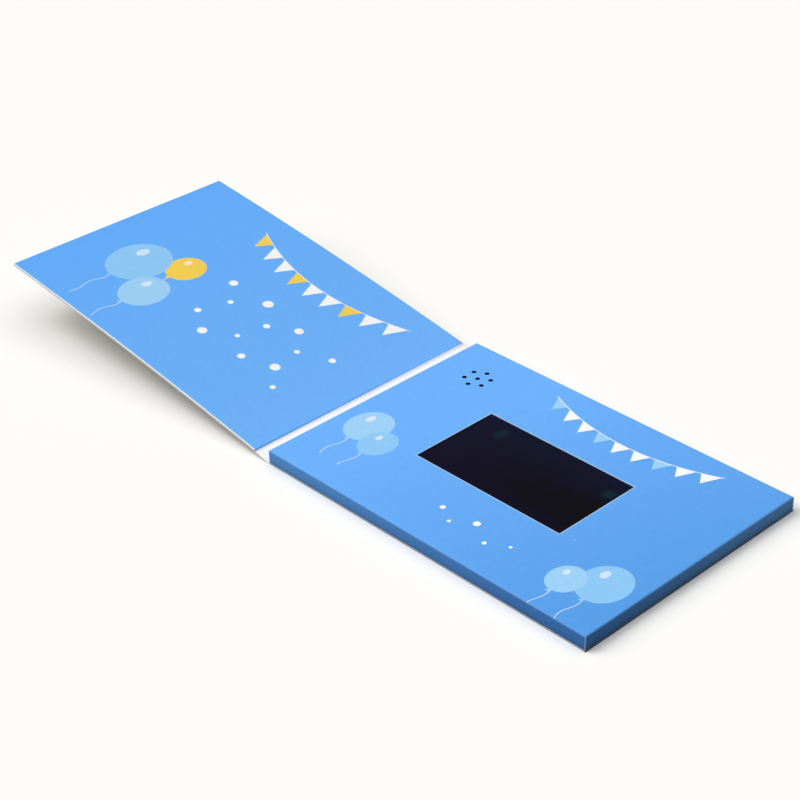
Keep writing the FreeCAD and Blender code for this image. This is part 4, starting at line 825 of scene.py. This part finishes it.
def swept(name, rows, closed=True):
    """A mesh swept through rows of points that all hold the same count."""
    count = len(rows[0])
    points = [point for row in rows for point in row]
    faces = []
    for step in range(len(rows) - 1):
        for side in range(count if closed else count - 1):
            other = (side + 1) % count
            low, high = step * count, (step + 1) * count
            faces.append((low + side, low + other, high + other, high + side))
    if closed:
        faces.append(tuple(reversed(range(count))))
        faces.append(tuple(range((len(rows) - 1) * count, len(rows) * count)))
    made = shell_object(name, points, faces)
    mesh = bmesh.new()
    mesh.from_mesh(made.data)
    bmesh.ops.recalc_face_normals(mesh, faces=mesh.faces)
    mesh.to_mesh(made.data)
    mesh.free()
    return made


def hinge_fillet():
    """Paper turned down from the liner's edge over the core card to the spine side."""
    profile = [(1.72, 0.72), (1.25, 0.47), (0.85, 0.25), (0.35, 0.02), (0.85, 0.00), (1.72, 0.00)]
    rows = []
    for step in range(41):
        across = -73.95 + 147.9 * step / 40
        ripple = 0.02 * math.sin(across * 0.9) + 0.015 * math.sin(across * 0.31 + 1.0)
        rows.append([on_cover(along - (ripple if height > 0.01 else 0.0), across, height) for along, height in profile])
    made = swept("hinge_fillet", rows)
    made.data.materials.append(hinge_paper())
    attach(made, "cover")


hinge_fillet()


# Table top and world
def table_top():
    side = 12.0
    corners = [(-side, -side, 0.0), (side, -side, 0.0), (side, side, 0.0), (-side, side, 0.0)]
    table = shell_object("table_top", corners, [(0, 1, 2, 3)])
    shade = Shade("table_white")
    path = shade.node("ShaderNodeLightPath").outputs
    seen = shade.either(path["Is Camera Ray"], path["Is Glossy Ray"], path["Is Transmission Ray"])
    cloud = shade.noise(0.004, 2.0)
    white = shade.blend(cloud, TABLE_SEEN, tuple(channel * 0.995 for channel in TABLE_SEEN))
    shade.finish(
        Base_Color=shade.blend(seen, TABLE_BOUNCE, white),
        Roughness=0.9,
        Specular_IOR_Level=0.0,
    )
    table.data.materials.append(shade.material)


TABLE_SEEN = (0.985, 0.985, 0.985)
TABLE_BOUNCE = (0.28, 0.270, 0.220)
table_top()

world = bpy.data.worlds.new("world")
bpy.context.scene.world = world
world.use_nodes = True
sky_nodes = world.node_tree.nodes
background = sky_nodes["Background"]
path = sky_nodes.new("ShaderNodeLightPath")
seen = sky_nodes.new("ShaderNodeMath")
seen.operation = "MAXIMUM"
seen_all = sky_nodes.new("ShaderNodeMath")
seen_all.operation = "MAXIMUM"
strength = sky_nodes.new("ShaderNodeMapRange")
strength.inputs["To Min"].default_value = 0.03
strength.inputs["To Max"].default_value = 1.0
tint = sky_nodes.new("ShaderNodeMix")
tint.data_type = "RGBA"
tint.inputs[6].default_value = (1.0, 0.93, 0.60, 1.0)
tint.inputs[7].default_value = (1.0, 1.0, 0.985, 1.0)
links = world.node_tree.links
links.new(path.outputs["Is Camera Ray"], seen.inputs[0])
links.new(path.outputs["Is Glossy Ray"], seen.inputs[1])
links.new(seen.outputs[0], seen_all.inputs[0])
links.new(path.outputs["Is Transmission Ray"], seen_all.inputs[1])
links.new(seen_all.outputs[0], strength.inputs["Value"])
links.new(strength.outputs[0], background.inputs["Strength"])
links.new(seen_all.outputs[0], tint.inputs["Factor"])
links.new(tint.outputs[2], background.inputs["Color"])


def sun(name, towards, strength, spread_degrees, colour=(1.0, 1.0, 1.0)):
    """A wide soft lamp, as even as a studio box far away. towards points at the lamp."""
    data = bpy.data.lights.new(name, "SUN")
    data.energy = strength
    data.angle = math.radians(spread_degrees)
    data.color = colour
    lamp = bpy.data.objects.new(name, data)
    lamp.rotation_mode = "QUATERNION"
    lamp.rotation_quaternion = Vector(towards).to_track_quat("Z", "Y")
    bpy.context.scene.collection.objects.link(lamp)


sun("side_lamp", (-0.567, -0.443, 0.695), 2.12, 50.0, (1.0, 0.985, 0.975))
sun("overhead_lamp", (0.03, 0.10, 1.0), 1.59, 86.0, (1.0, 1.0, 0.975))
